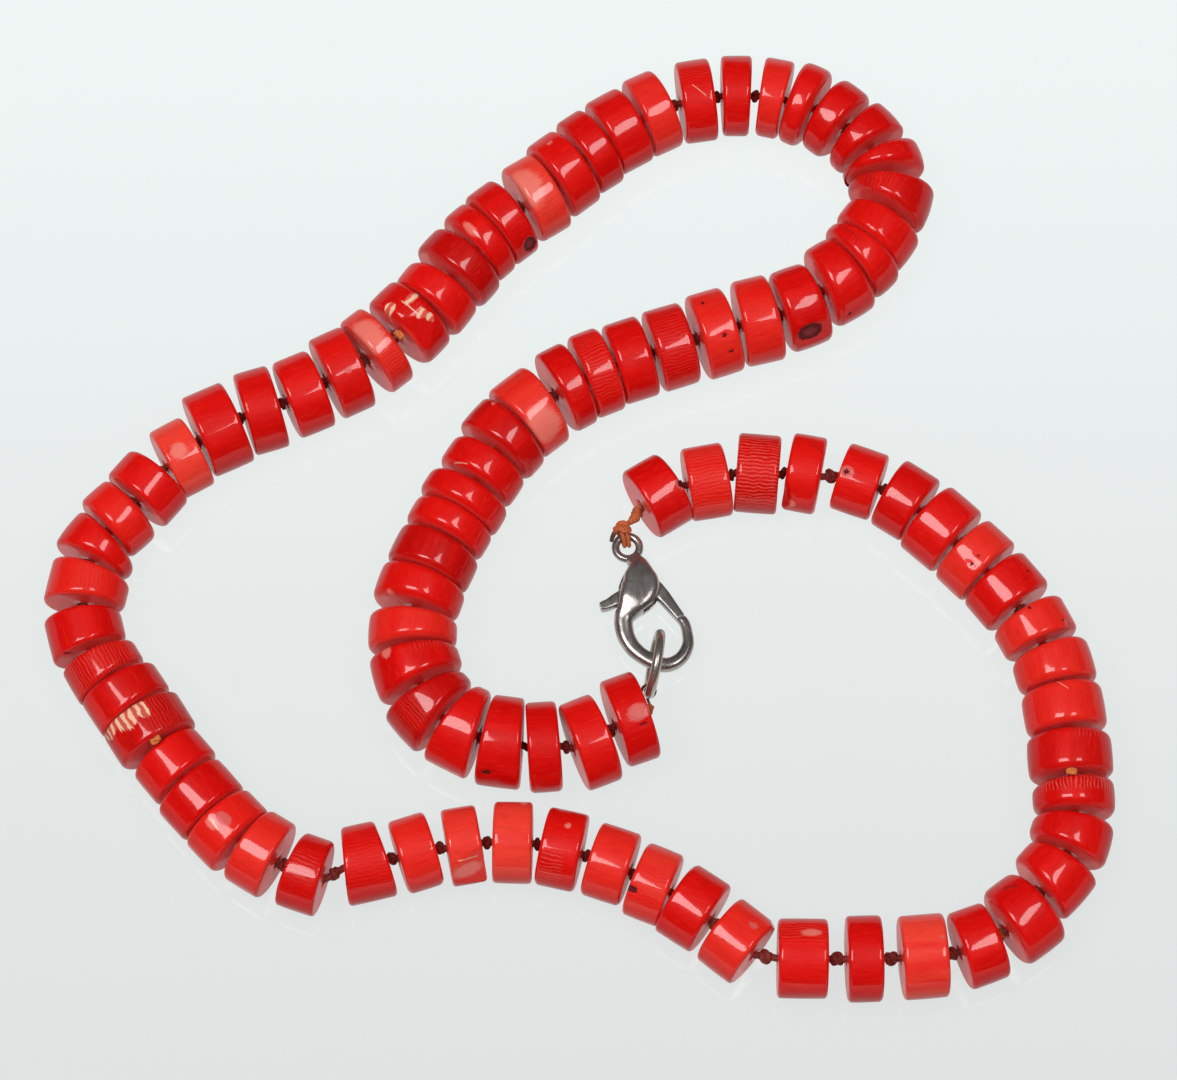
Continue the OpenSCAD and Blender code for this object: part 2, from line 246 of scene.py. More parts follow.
def measureBeads(node, boreRadius):
    # each bead's axis is the plan direction in which its volume spreads least, with moments summed over
    # the tetrahedra from its middle to its triangles; the rims of its bore give its width at the thread
    # and how far its faces lean
    points, triangles, owner = looseSolids(node)
    count = owner.max() + 1
    size = np.bincount(owner)
    middle = np.stack([np.bincount(owner, points[:, k]) / size for k in range(3)], 1)
    corner = points[triangles] - middle[owner[triangles[:, 0]]][:, None]
    volume = np.einsum("ij,ij->i", corner[:, 0], np.cross(corner[:, 1], corner[:, 2])) / 6
    total = corner.sum(1)
    spread = {}
    for name, a, b in (("xx", 0, 0), ("xy", 0, 1), ("yy", 1, 1)):
        moment = volume / 20 * ((corner[:, :, a] * corner[:, :, b]).sum(1) + total[:, a] * total[:, b])
        spread[name] = np.bincount(owner[triangles[:, 0]], moment, count)
    mass = np.bincount(owner[triangles[:, 0]], volume, count)
    centroid = [np.bincount(owner[triangles[:, 0]], volume * total[:, k] / 4, count) / mass
                for k in (0, 1)]
    xx = spread["xx"] / mass - centroid[0] ** 2
    xy = spread["xy"] / mass - centroid[0] * centroid[1]
    yy = spread["yy"] / mass - centroid[1] ** 2
    heading = np.arctan2(2 * xy, xx - yy) / 2 + math.pi / 2
    ahead, left = beadDirections(heading)
    offset = points - middle[owner]

    def between(along):
        low, high = np.full(count, np.inf), np.full(count, -np.inf)
        np.minimum.at(low, owner, along)
        np.maximum.at(high, owner, along)
        return low, high

    axial, lateral = (offset * ahead[owner]).sum(1), (offset * left[owner]).sum(1)
    (a0, a1), (l0, l1), (z0, z1) = between(axial), between(lateral), between(offset[:, 2])
    shift = ((a0 + a1) / 2)[:, None] * ahead + ((l0 + l1) / 2)[:, None] * left
    place = middle + shift + ((z0 + z1) / 2)[:, None] * np.array([0, 0, 1.0])
    offset = points - place[owner]
    axial, lateral = np.abs((offset * ahead[owner]).sum(1)), (offset * left[owner]).sum(1)
    rim = np.abs(np.hypot(lateral, offset[:, 2]) - boreRadius) < 0.05  # corners on the bore
    held = owner[rim]
    half = np.bincount(held, axial[rim], count) / np.bincount(held, minlength=count)
    slope = (np.bincount(held, (axial[rim] - half[held]) * lateral[rim], count)
             / np.bincount(held, lateral[rim] ** 2, count))
    return {"place": place, "heading": heading, "half": half, "radius": (z1 - z0) / 2, "slope": -slope}


def beadDirections(heading):
    flat = np.zeros_like(heading)
    return (np.stack([np.cos(heading), np.sin(heading), flat], 1),
            np.stack([-np.sin(heading), np.cos(heading), flat], 1))


def alongThread(beads, start):
    # nearest bead after nearest bead from the start, with every heading turned to the way of the thread
    left, order, here = list(range(len(beads["half"]))), [], start
    while left:
        nearest = min(left, key=lambda i: np.hypot(*(beads["place"][i] - here)[:2]))
        order.append(nearest)
        left.remove(nearest)
        here = beads["place"][nearest]
    beads = {key: value[order] for key, value in beads.items()}
    way = np.gradient(beads["place"], axis=0)
    ahead, _ = beadDirections(beads["heading"])
    turned = (way * ahead).sum(1) < 0
    beads["heading"] = beads["heading"] + math.pi * turned
    beads["slope"] = np.where(turned, -beads["slope"], beads["slope"])
    return beads


def boxMiddle(node):
    low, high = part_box(node)
    return np.array((low + high) / 2) / mm


boreRadius = 0.75
upper = alongThread(measureBeads("coral_beads_upper", boreRadius), boxMiddle("jump_ring"))
lower = alongThread(measureBeads("coral_beads_lower", boreRadius), upper["place"][-1])
beads = {key: np.concatenate([upper[key], lower[key]]) for key in upper}
beadCount = len(beads["half"])
print("beads measured:", beadCount)


# Coral beads

coral = {
    "seed": 7, "around": 92, "edge": (0.42, 0.86), "lip": 0.18, "outOfRound": 0.016, "taper": 0.01,
    "rimWobble": 0.08, "ripple": 0.03, "crown": 0.03, "castShare": 0.995,
    "pitDepth": {"hole": 0.22, "eye": 0.3}, "chipReach": 4.0,
    "flakedBeads": (57, 43), "flakeDepth": 0.12, "flakes": 58,
    "deep": (0.60, 0.0016, 0.0011), "warm": (0.73, 0.0062, 0.0038), "light": (0.86, 0.07, 0.042),
    # the face colour is the end faces' pale pink, partly their own ground tone and partly a painted
    # reflection of the pale floor
    "pale": (0.80, 0.21, 0.165), "face": (0.95, 0.08, 0.07), "grain": (0.30, 0.001, 0.001),
    "cream": (0.80, 0.50, 0.34), "pit": (0.12, 0.008, 0.010), "pink": (0.60, 0.11, 0.10),
    "core": (0.20, 0.028, 0.034),
    "streakScale": 6.0, "cloudScale": 0.4, "speckScale": 9.0, "bendScale": 0.7,
    "darkStreaks": 0.3, "lightStreaks": 0.18, "clouds": 0.7, "faceToneAndReflection": 0.85, "ragged": 0.5,
    # the rib share sets the painted highlight on rib ridges and the painted shade in rib grooves
    "ribPitch": 14.5, "ribBend": 12.0, "ribHighlightAndShade": 0.4, "creamPitch": 6.5, "creamBend": 7.0,
    "creamRibs": 0.8, "creamBetween": 0.15, "lineRagged": 4.0,
    "roughness": 0.25, "faceWear": 0.08, "wear": {"cream": 0.3, "hole": 0.45, "eye": 0.3, "streak": 0.1},
    "ribHeight": 0.03, "bump": 0.8,
    "height": {"streak": 0.009, "speck": 0.003, "hole": -0.15, "eye": -0.12, "darkLine": -0.05},
    "gloss": 0.85, "lowHeld": 0.75, "lowHeldOnFace": 0.04, "coatRoughness": 0.07, "specular": 0.1,
    "ior": 1.52, "subsurface": 0.1, "subsurfaceReach": (0.9, 0.12, 0.1),
}

# masks over the colour, in the order in which they are laid on: kind of mark, distance in reaches of the
# mark at which the mask starts and that at which it is full, strength, colour
markMasks = {
    "pale": ("pale", 1.15, 0.7, 0.75, "pale"), "halo": ("halo", 1.1, 0.85, 0.8, "pink"),
    "cream": ("cream", 1.05, 0.9, 1.0, "cream"), "eye": ("eye", 1.1, 0.98, 1.0, "pit"),
    "eyeCore": ("eye", 0.7, 0.42, 1.0, "core"), "hole": ("hole", 1.1, 0.85, 1.0, "pit"),
}

# stretches of rounder or crisper beads: first and last bead, share of the usual edge, crown
edgeRuns = [
    (1, 4, 0.8, 0.03), (6, 14, 1.4, 0.10), (22, 30, 1.4, 0.12), (31, 34, 0.8, 0.03),
    (40, 43, 1.35, 0.10), (44, 49, 0.8, 0.03), (51, 52, 1.4, 0.10), (61, 75, 0.82, 0.03),
    (76, 82, 1.4, 0.12), (88, 92, 0.8, 0.03),
]

# how pale each lighter bead is, from 0, warm red, to 1, salmon; beads are numbered from the jump ring
lightBeads = {
    8: 0.1, 15: 0.2, 20: 0.1, 21: 0.08, 31: 0.08, 34: 0.12, 38: 0.28, 44: 0.12, 49: 0.32, 51: 0.05,
    53: 0.06, 60: 0.05, 61: 0.12, 64: 0.1, 65: 0.22, 66: 0.3, 68: 0.12, 69: 0.2, 71: 0.12, 74: 0.36,
    81: 0.08, 82: 0.12, 83: 0.12, 85: 0.15, 91: 0.1,
}
darkBeads = {
    6: 0.4, 10: 0.4, 14: 0.3, 24: 0.1, 26: 0.25, 41: 0.4, 43: 0.15, 45: 0.1, 55: 0.2, 56: 0.25, 57: 0.4,
    62: 0.15, 79: 0.1, 80: 0.25,
}

# growth ribs: strength, and the part of the barrel that they cover as degrees from its top, left side
# first, and as shares of its width, from -1 at the near face to 1 at the one ahead
ribbedBeads = {
    6: (0.35, 20, 100, -1, 1), 7: (0.5, -80, 0, 0.3, 1.2), 17: (0.35, -60, 40, -1, 1),
    19: (0.3, -90, 90, -1, 1), 26: (0.3, 0, 100, -1, 1), 33: (0.3, -90, -10, -1, 1),
    38: (0.2, -90, 90, -1, 1), 44: (0.3, -90, 90, -1, 1), 53: (0.15, -20, 110, -1, 1),
    55: (0.45, -110, 110, -1, 1), 57: (0.4, 0, 110, -1, 1), 62: (0.6, -25, 15, -1, 0.6),
    63: (0.15, -60, 60, -1, 1), 67: (0.7, -75, -20, -0.8, 0.3), 69: (0.15, -60, 60, -1, 1),
    72: (0.5, 10, 110, -1, 1), 79: (1.0, -80, 90, 0.05, 1.2), 80: (0.5, -70, 0, 0.4, 1.2),
    84: (0.5, -80, -35, 0, 1.2), 90: (1.0, -110, 110, -1, 1), 91: (0.35, -110, 110, -1, 1),
}

# marks: bead, kind, grid x and y where the camera sees it, reach along the thread and around the bead
marks = [
    # bead 1's halo and pale marks are a painted reflection, a pinkish-white patch of light on its barrel
    (1, "halo", 5.5, -20.3, 1.3, 1.0), (1, "pale", 5.4, -20.1, 0.9, 0.7),
    (1, "hole", 6.1, -21.6, 0.6, 0.16), (4, "hole", -11.3, -27.3, 0.55, 0.4),
    (7, "pale", -22.6, -13.3, 0.8, 0.7), (9, "pale", -22.7, -6.4, 0.8, 0.7),
    (13, "hole", -14.8, 8.6, 0.45, 0.3), (14, "pale", -10.8, 16.6, 0.35, 0.35),
    (15, "pale", -5.0, 13.9, 2.2, 2.4), (17, "hole", 2.8, 24.6, 0.3, 0.35),
    (20, "hole", 13.1, 29.0, 0.3, 0.3), (20, "hole", 15.5, 24.9, 0.35, 0.3),
    (20, "hole", 16.3, 22.9, 0.3, 0.3), (22, "eye", 25.4, 25.2, 1.45, 1.15),
    (23, "hole", 29.9, 27.5, 0.3, 0.25), (34, "halo", 10.5, 57.0, 0.4, 0.5),
    (37, "pale", -4.5, 49.0, 0.4, 0.4), (38, "pale", -7.2, 43.4, 2.0, 2.8),
    (39, "eye", -6.7, 36.2, 0.8, 1.1), (40, "pale", -13.6, 38.2, 0.5, 1.3),
    (43, "cream", -22.8, 28.3, 0.8, 0.7), (43, "cream", -20.3, 29.5, 1.1, 0.55),
    (43, "cream", -19.2, 27.6, 0.75, 0.5), (43, "cream", -18.2, 27.2, 0.5, 0.7),
    (44, "pale", -25.2, 24.9, 1.8, 2.6), (45, "halo", -27.4, 20.6, 0.5, 0.45),
    (49, "pale", -46.4, 10.8, 1.0, 1.0), (53, "pale", -54.8, -8.8, 1.4, 1.2),
    (54, "hole", -58.5, -13.8, 0.55, 0.45), (56, "hole", -53.1, -15.3, 0.45, 0.4),
    (57, "cream", -51.4, -20.8, 1.6, 1.7), (57, "cream", -49.4, -20, 1.2, 0.6),
    (57, "cream", -53.2, -22.4, 1.2, 1.3), (60, "pale", -41.4, -33.2, 0.9, 0.6),
    (60, "halo", -40.1, -32.6, 1.0, 0.7), (63, "hole", -26.6, -40.1, 0.25, 0.25),
    (65, "pale", -13.0, -38.8, 1.9, 1.1), (67, "pale", -2.3, -33.4, 0.45, 0.45),
    (69, "hole", 4.7, -40.6, 0.7, 0.4), (71, "halo", 18, -44.7, 0.55, 0.5),
    (72, "pale", 24.3, -45.4, 1.2, 0.6), (74, "halo", 38.6, -46.0, 0.3, 0.3),
    (80, "cream", 50.9, -20.6, 0.3, 0.25), (83, "hole", 49.3, -8.0, 0.22, 0.2),
    (83, "hole", 53.0, -9.5, 0.22, 0.2), (83, "halo", 53.6, -9.9, 0.7, 0.6),
    (84, "hole", 49.2, -3.6, 0.28, 0.22), (84, "hole", 49.1, -4.6, 0.24, 0.22),
    (85, "hole", 43.7, -1.8, 0.25, 0.25), (85, "hole", 43, -2.9, 0.25, 0.25),
    (88, "hole", 29.2, 8.2, 0.38, 0.34), (88, "halo", 29.2, 8.2, 0.9, 0.75),
    (89, "pale", 22.8, 4.3, 0.6, 0.7), (92, "hole", 10.5, 6.8, 0.42, 0.46),
    (92, "halo", 10.5, 6.8, 0.66, 0.74), (92, "halo", 10.0, 2.3, 0.4, 0.4),
]

markKinds = ("hole", "eye", "cream", "pale", "halo")

# lines: bead, grid x and y of both ends, width, and paleness, below 0 for a dark crack
lines = [
    (14, -11.8, 17.2, -9.4, 15.4, 0.08, -0.6), (24, 29, 38.6, 31.4, 36.6, 0.08, -0.5),
    (33, 12.0, 56.6, 13.8, 55.0, 0.07, 0.6), (34, 9.2, 58.4, 12.2, 56.2, 0.07, 0.6),
    (53, -56.5, -9.8, -53, -9.4, 0.1, 0.4), (52, -57, -6.6, -55.4, -8.4, 0.07, -0.5),
    (65, -14.4, -37.4, -11.8, -37.2, 0.09, 0.8), (71, 19.6, -43.4, 20.4, -45.4, 0.1, -0.5),
    (81, 51.4, -16.2, 53.4, -17.6, 0.06, 0.6), (83, 53.2, -9, 54.6, -11.6, 0.1, -0.8),
    (89, 25.4, 11.5, 26.6, 10.4, 0.08, -0.8), (92, 7.6, 9.8, 9.4, 10.4, 0.1, -0.7),
    (43, -21.5, 29.2, -19.4, 27.4, 0.12, 0.8), (13, -15.6, 9.6, -13.6, 9.2, 0.08, 0.5),
    (76, 45.2, -40.6, 47.0, -40.2, 0.3, -0.5), (60, -41.6, -32.3, -40.6, -34.0, 0.09, 0.6),
]

# chips ground flat: bead, grid x and y of the middle, how deep, and how many degrees the flat tips
# towards the face ahead
chips = [
    (65, -13.3, -38.9, 0.5, 15), (89, 22.4, 4.4, 0.4, 48), (17, 4.2, 20, 0.2, 30),
    (71, 20.6, -44, 0.3, 35), (15, -3.4, 15.8, 0.25, 25), (43, -18.4, 26.4, 0.08, 20),
    (57, -52.6, -20.4, 0.25, 0), (22, 25.6, 25, 0.3, 0), (72, 24.4, -45.2, 0.15, 0),
    (74, 40.2, -45.6, 0.15, 10), (9, -20.4, -6.4, 0.2, -25),
]


def beadProfile():
    # one closed run round a bead's section: bore, lip, face, edge, barrel and back. Each row holds the
    # shares of bore radius, lip, radius and edge in the distance from the axis, those of half width, edge
    # and lip in the place along it, and how far it counts as face, which fades over 40 degrees of the edge
    rows = [(1, 0, 0, 0, share, 0, 0, 0.6) for share in (-0.4, 0.4)]
    half = []
    for turn in np.radians([0, 45, 90]):
        half.append((1, 1 - math.cos(turn), 0, 0, 1, 0, math.sin(turn) - 1, 1))
    for share in (0.3, 0.62, 0.86):
        half.append((1 - share, 1 - share, share, -share, 1, 0, 0, 1))
    for turn in np.radians(np.linspace(0, 90, 10)):
        face = max(0.0, 1 - math.degrees(turn) / 40)
        half.append((0, 0, 1, math.sin(turn) - 1, 1, math.cos(turn) - 1, 0, face))
    for share in (0.8, 0.5, 0.2):
        half.append((0, 0, 1, 0, share, -share, 0, 0))
    back = [(*row[:4], -row[4], -row[5], -row[6], row[7]) for row in reversed(half)]
    return np.array(rows + half + back)


def waves(draw, count, turns, sizes):
    # sum of cosines round each bead, each with its own size and phase, from 0 to 1
    around = np.linspace(0, 2 * math.pi, coral["around"], endpoint=False)
    total = np.zeros((count, coral["around"]))
    for turn, size in zip(turns, sizes):
        phase = draw.uniform(0, 2 * math.pi, (count, 1))
        total += size * draw.uniform(0.3, 1, (count, 1)) * (1 + np.cos(turn * around + phase)) / 2
    return total / sum(sizes)


def castOnBead(index, x, y):
    # where the camera's line to a grid point meets the round of a bead, just inside its skin: place along
    # its axis and angle from its top, positive to the left of the thread's way
    eye = lookPoint() + backDirection() * view["distance"]
    ray = np.array([x, y, view["look"][2]]) + gridZero - eye
    ray = ray / np.linalg.norm(ray)
    ahead, left = beadDirections(beads["heading"][index:index + 1])
    across = np.array([left[0], [0, 0, 1.0]])
    start = eye - beads["place"][index]
    p, d = across @ start, across @ ray
    a, b, c = d @ d, p @ d, p @ p - (beads["radius"][index] * coral["castShare"]) ** 2
    reach = (-b - math.sqrt(max(b * b - a * c, 0.0))) / a
    hit = start + ray * reach
    return float(hit @ ahead[0]), math.atan2(float(hit @ left[0]), float(hit[2]))


def turnedFrom(angle, turn):
    # how far round the bead each point is from an angle, between half a turn back and half a turn on
    return (turn - angle + math.pi) % (2 * math.pi) - math.pi


farAway = 6.0  # distance, in reaches of a mark, where none is near


def markFields(axial, turn, radius):
    # distance to the nearest mark of each kind, in units of the mark's own reach, on every bead's grid
    fields = {kind: np.full(axial.shape, farAway) for kind in markKinds}
    for bead, kind, x, y, along, around in marks:
        i = bead - 1
        at, angle = castOnBead(i, x, y)
        distance = np.hypot((axial[i] - at) / along, turnedFrom(angle, turn[i]) * radius[i] / around)
        fields[kind][i] = np.minimum(fields[kind][i], distance)
    return fields


def lineFields(axial, turn, radius):
    # place across and along one line on a bead, in units of its half width and half length, and paleness
    across = np.full((*axial.shape, 3), farAway)
    across[..., 2] = 0
    for bead, x0, y0, x1, y1, width, paleness in lines:
        i = bead - 1
        ends = np.array([castOnBead(i, x0, y0), castOnBead(i, x1, y1)])
        middle, run = ends.mean(0), (ends[1] - ends[0]) * [1, radius[i]]
        length = np.linalg.norm(run)
        u, v = axial[i] - middle[0], turnedFrom(middle[1], turn[i]) * radius[i]
        across[i, ..., 0] = (u * run[1] - v * run[0]) / length / width
        across[i, ..., 1] = (u * run[0] + v * run[1]) / length / (length / 2)
        across[i, ..., 2] = paleness
    return across


def beadGrids():
    # every bead at once: distance from the axis and place along it from the profile's shares, with an
    # out-of-round radius, wandering rims, an uneven edge and a slow ripple, all turned inwards
    draw = np.random.default_rng(coral["seed"])
    profile = beadProfile()
    count, around = beadCount, coral["around"]
    turn = np.linspace(-math.pi, math.pi, around, endpoint=False)[None, :, None]
    uneven = 0.7 - waves(draw, count, (2, 3, 5), (1, 0.6, 0.25))
    radius = beads["radius"][:, None] * (1 + coral["outOfRound"] * uneven)
    least, most = coral["edge"]
    edge = least + (most - least) * waves(draw, count, (1, 2, 4), (1, 0.8, 0.4))
    crown = np.full((count, 1, 1), coral["crown"])
    for first, last, share, bulge in edgeRuns:
        edge[first - 1:last] *= share
        crown[first - 1:last] = bulge
    wobble = coral["rimWobble"] * (waves(draw, count, (1, 2, 3, 5), (1, 0.8, 0.5, 0.3)) - 0.4)
    radius, edge, wobble = (value[:, :, None] for value in (radius, edge, wobble))
    beadHalf, beadRadius, slope = (beads[key][:, None, None] for key in ("half", "radius", "slope"))
    bore, lip, rim, curve, half, edgeBack, lipBack, face = (profile[:, k] for k in range(8))
    out = bore * boreRadius + lip * coral["lip"] + rim * radius + curve * edge
    reach = beadHalf - out * np.sin(turn) * slope - wobble
    axial = half * reach + edgeBack * edge + lipBack * coral["lip"]
    share = axial / beadHalf
    taper = coral["taper"] * draw.uniform(-1, 1, (count, 1, 1))
    barrel = np.clip((out - 1.5) / 2.5, 0, 1)  # the bore and the thread's way stay as they are
    crown = crown * np.clip(share, -1, 1) ** 2
    ripple = np.zeros_like(out)
    for turns, along in ((3, 0.5), (5, -0.9), (7, 0.7), (9, 1.3)):
        phase = draw.uniform(0, 2 * math.pi, (count, 1, 1))
        height = draw.uniform(0.2, 1, (count, 1, 1))
        ripple += height * (1 + np.cos(turns * turn + along * axial + phase)) / 2
    narrowed = beadRadius * np.abs(taper) * (1 + np.sign(taper) * share) / 2
    out = out - barrel * (crown + coral["ripple"] * ripple / 2 + narrowed)
    return np.broadcast_to(turn, out.shape), out, axial, np.broadcast_to(face, out.shape)


def groundChips(turn, out, axial):
    # a chip is a flat: what stands beyond its plane moves back onto it
    lateral, up = out * np.sin(turn), out * np.cos(turn)
    for bead, x, y, depth, tip in chips:
        i = bead - 1
        at, angle = castOnBead(i, x, y)
        tilt = math.radians(tip)
        normal = np.array([math.sin(tilt), math.sin(angle) * math.cos(tilt),
                           math.cos(angle) * math.cos(tilt)])
        radius = beads["radius"][i]
        spot = np.array([at, radius * math.sin(angle), radius * math.cos(angle)])
        place = np.stack([axial[i], lateral[i], up[i]], -1)
        near = ((place - spot) ** 2).sum(-1) < coral["chipReach"] ** 2
        back = np.where(near, np.maximum(place @ normal - (spot @ normal - depth), 0), 0)
        axial[i] -= back * normal[0]
        lateral[i] -= back * normal[1]
        up[i] -= back * normal[2]
    return lateral, up, axial


def beadColors(draw):
    share = draw.beta(2, 2.4, beadCount)
    deep, warm, light, pale = (np.array(coral[key]) for key in ("deep", "warm", "light", "pale"))
    color = deep + (warm - deep) * share[:, None]
    for bead, amount in darkBeads.items():
        color[bead - 1] = color[bead - 1] + (deep * 0.5 - color[bead - 1]) * amount
    for bead, amount in lightBeads.items():
        start = warm + (light - warm) * min(amount * 2, 1)
        color[bead - 1] = start + (pale - start) * max(amount * 2 - 1, 0)
    return np.concatenate([color, np.ones((beadCount, 1))], 1)


def ribShares(turn, axial):
    # how ribbed each point is: each bead's strength inside its own patch, faded at the patch's rims over
    # 15 degrees and 0.15 of the half width
    share = np.zeros(turn.shape)
    for bead, (strength, low, high, back, ahead) in ribbedBeads.items():
        i = bead - 1
        angle, place = np.degrees(turn[i]), axial[i] / beads["half"][i]
        share[i] = strength
        for inside in ((angle - low) / 15, (high - angle) / 15,
                       (place - back) / 0.15, (ahead - place) / 0.15):
            share[i] *= np.clip(inside + 0.5, 0, 1)
    return share


def makeBeads(material):
    turn, out, axial, face = beadGrids()
    radius = beads["radius"]
    fields = markFields(axial, turn, radius)
    scratch = lineFields(axial, turn, radius)
    # pits with steep rims a little outside the mark's reach, and a flaked skin in the cream scars
    for kind, depth in coral["pitDepth"].items():
        out = out - depth * np.clip(1.1 - fields[kind], 0, 1) ** 0.7
    for bead in coral["flakedBeads"]:
        rough = np.clip(1.3 - fields["cream"][bead - 1], 0, 1)
        out[bead - 1] -= coral["flakeDepth"] * rough * (1 + np.sin(turn[bead - 1] * coral["flakes"])) / 2
    lateral, up, axial = groundChips(turn, out, axial)
    ahead, left = beadDirections(beads["heading"])
    points = (beads["place"][:, None, None] + axial[..., None] * ahead[:, None, None]
              + lateral[..., None] * left[:, None, None] + up[..., None] * np.array([0, 0, 1.0]))
    draw = np.random.default_rng(coral["seed"] + 1)
    offset = draw.uniform(-50, 50, (beadCount, 1, 1, 3))
    grain = np.stack([axial * 0.12, lateral, up], -1) + offset  # drawn out along the thread
    ribPlace = np.stack([turn * radius[:, None, None], axial, np.zeros_like(axial)], -1)
    ribPlace = ribPlace + offset * [0, 1, 1]
    color = np.broadcast_to(beadColors(draw)[:, None, None], (*axial.shape, 4))
    ribs = ribShares(turn, axial)
    columns = out.shape[2]
    quads = gridQuads(coral["around"], columns, True, True)[:, ::-1]
    perBead = coral["around"] * columns
    for name, first, last, node in (("coral_upper_near", 0, 23, "coral_beads_upper"),
                                    ("coral_upper_far", 23, 46, "coral_beads_upper"),
                                    ("coral_lower_left", 46, 69, "coral_beads_lower"),
                                    ("coral_lower_right", 69, 92, "coral_beads_lower")):
        part = slice(first, last)
        faces = (quads[None] + (np.arange(last - first) * perBead)[:, None, None]).reshape(-1, 4)
        made = smoothObject(name, points[part].reshape(-1, 3), faces)
        setAttribute(made, "grain", "FLOAT_VECTOR", grain[part])
        setAttribute(made, "ribPlace", "FLOAT_VECTOR", ribPlace[part])
        setAttribute(made, "scratch", "FLOAT_VECTOR", scratch[part])
        setAttribute(made, "beadColor", "FLOAT_COLOR", color[part])
        setAttribute(made, "face", "FLOAT", face[part])
        setAttribute(made, "ribs", "FLOAT", ribs[part])
        for kind, field in fields.items():
            setAttribute(made, kind, "FLOAT", field[part])
        wear(made, material, "necklace", "coral", node)


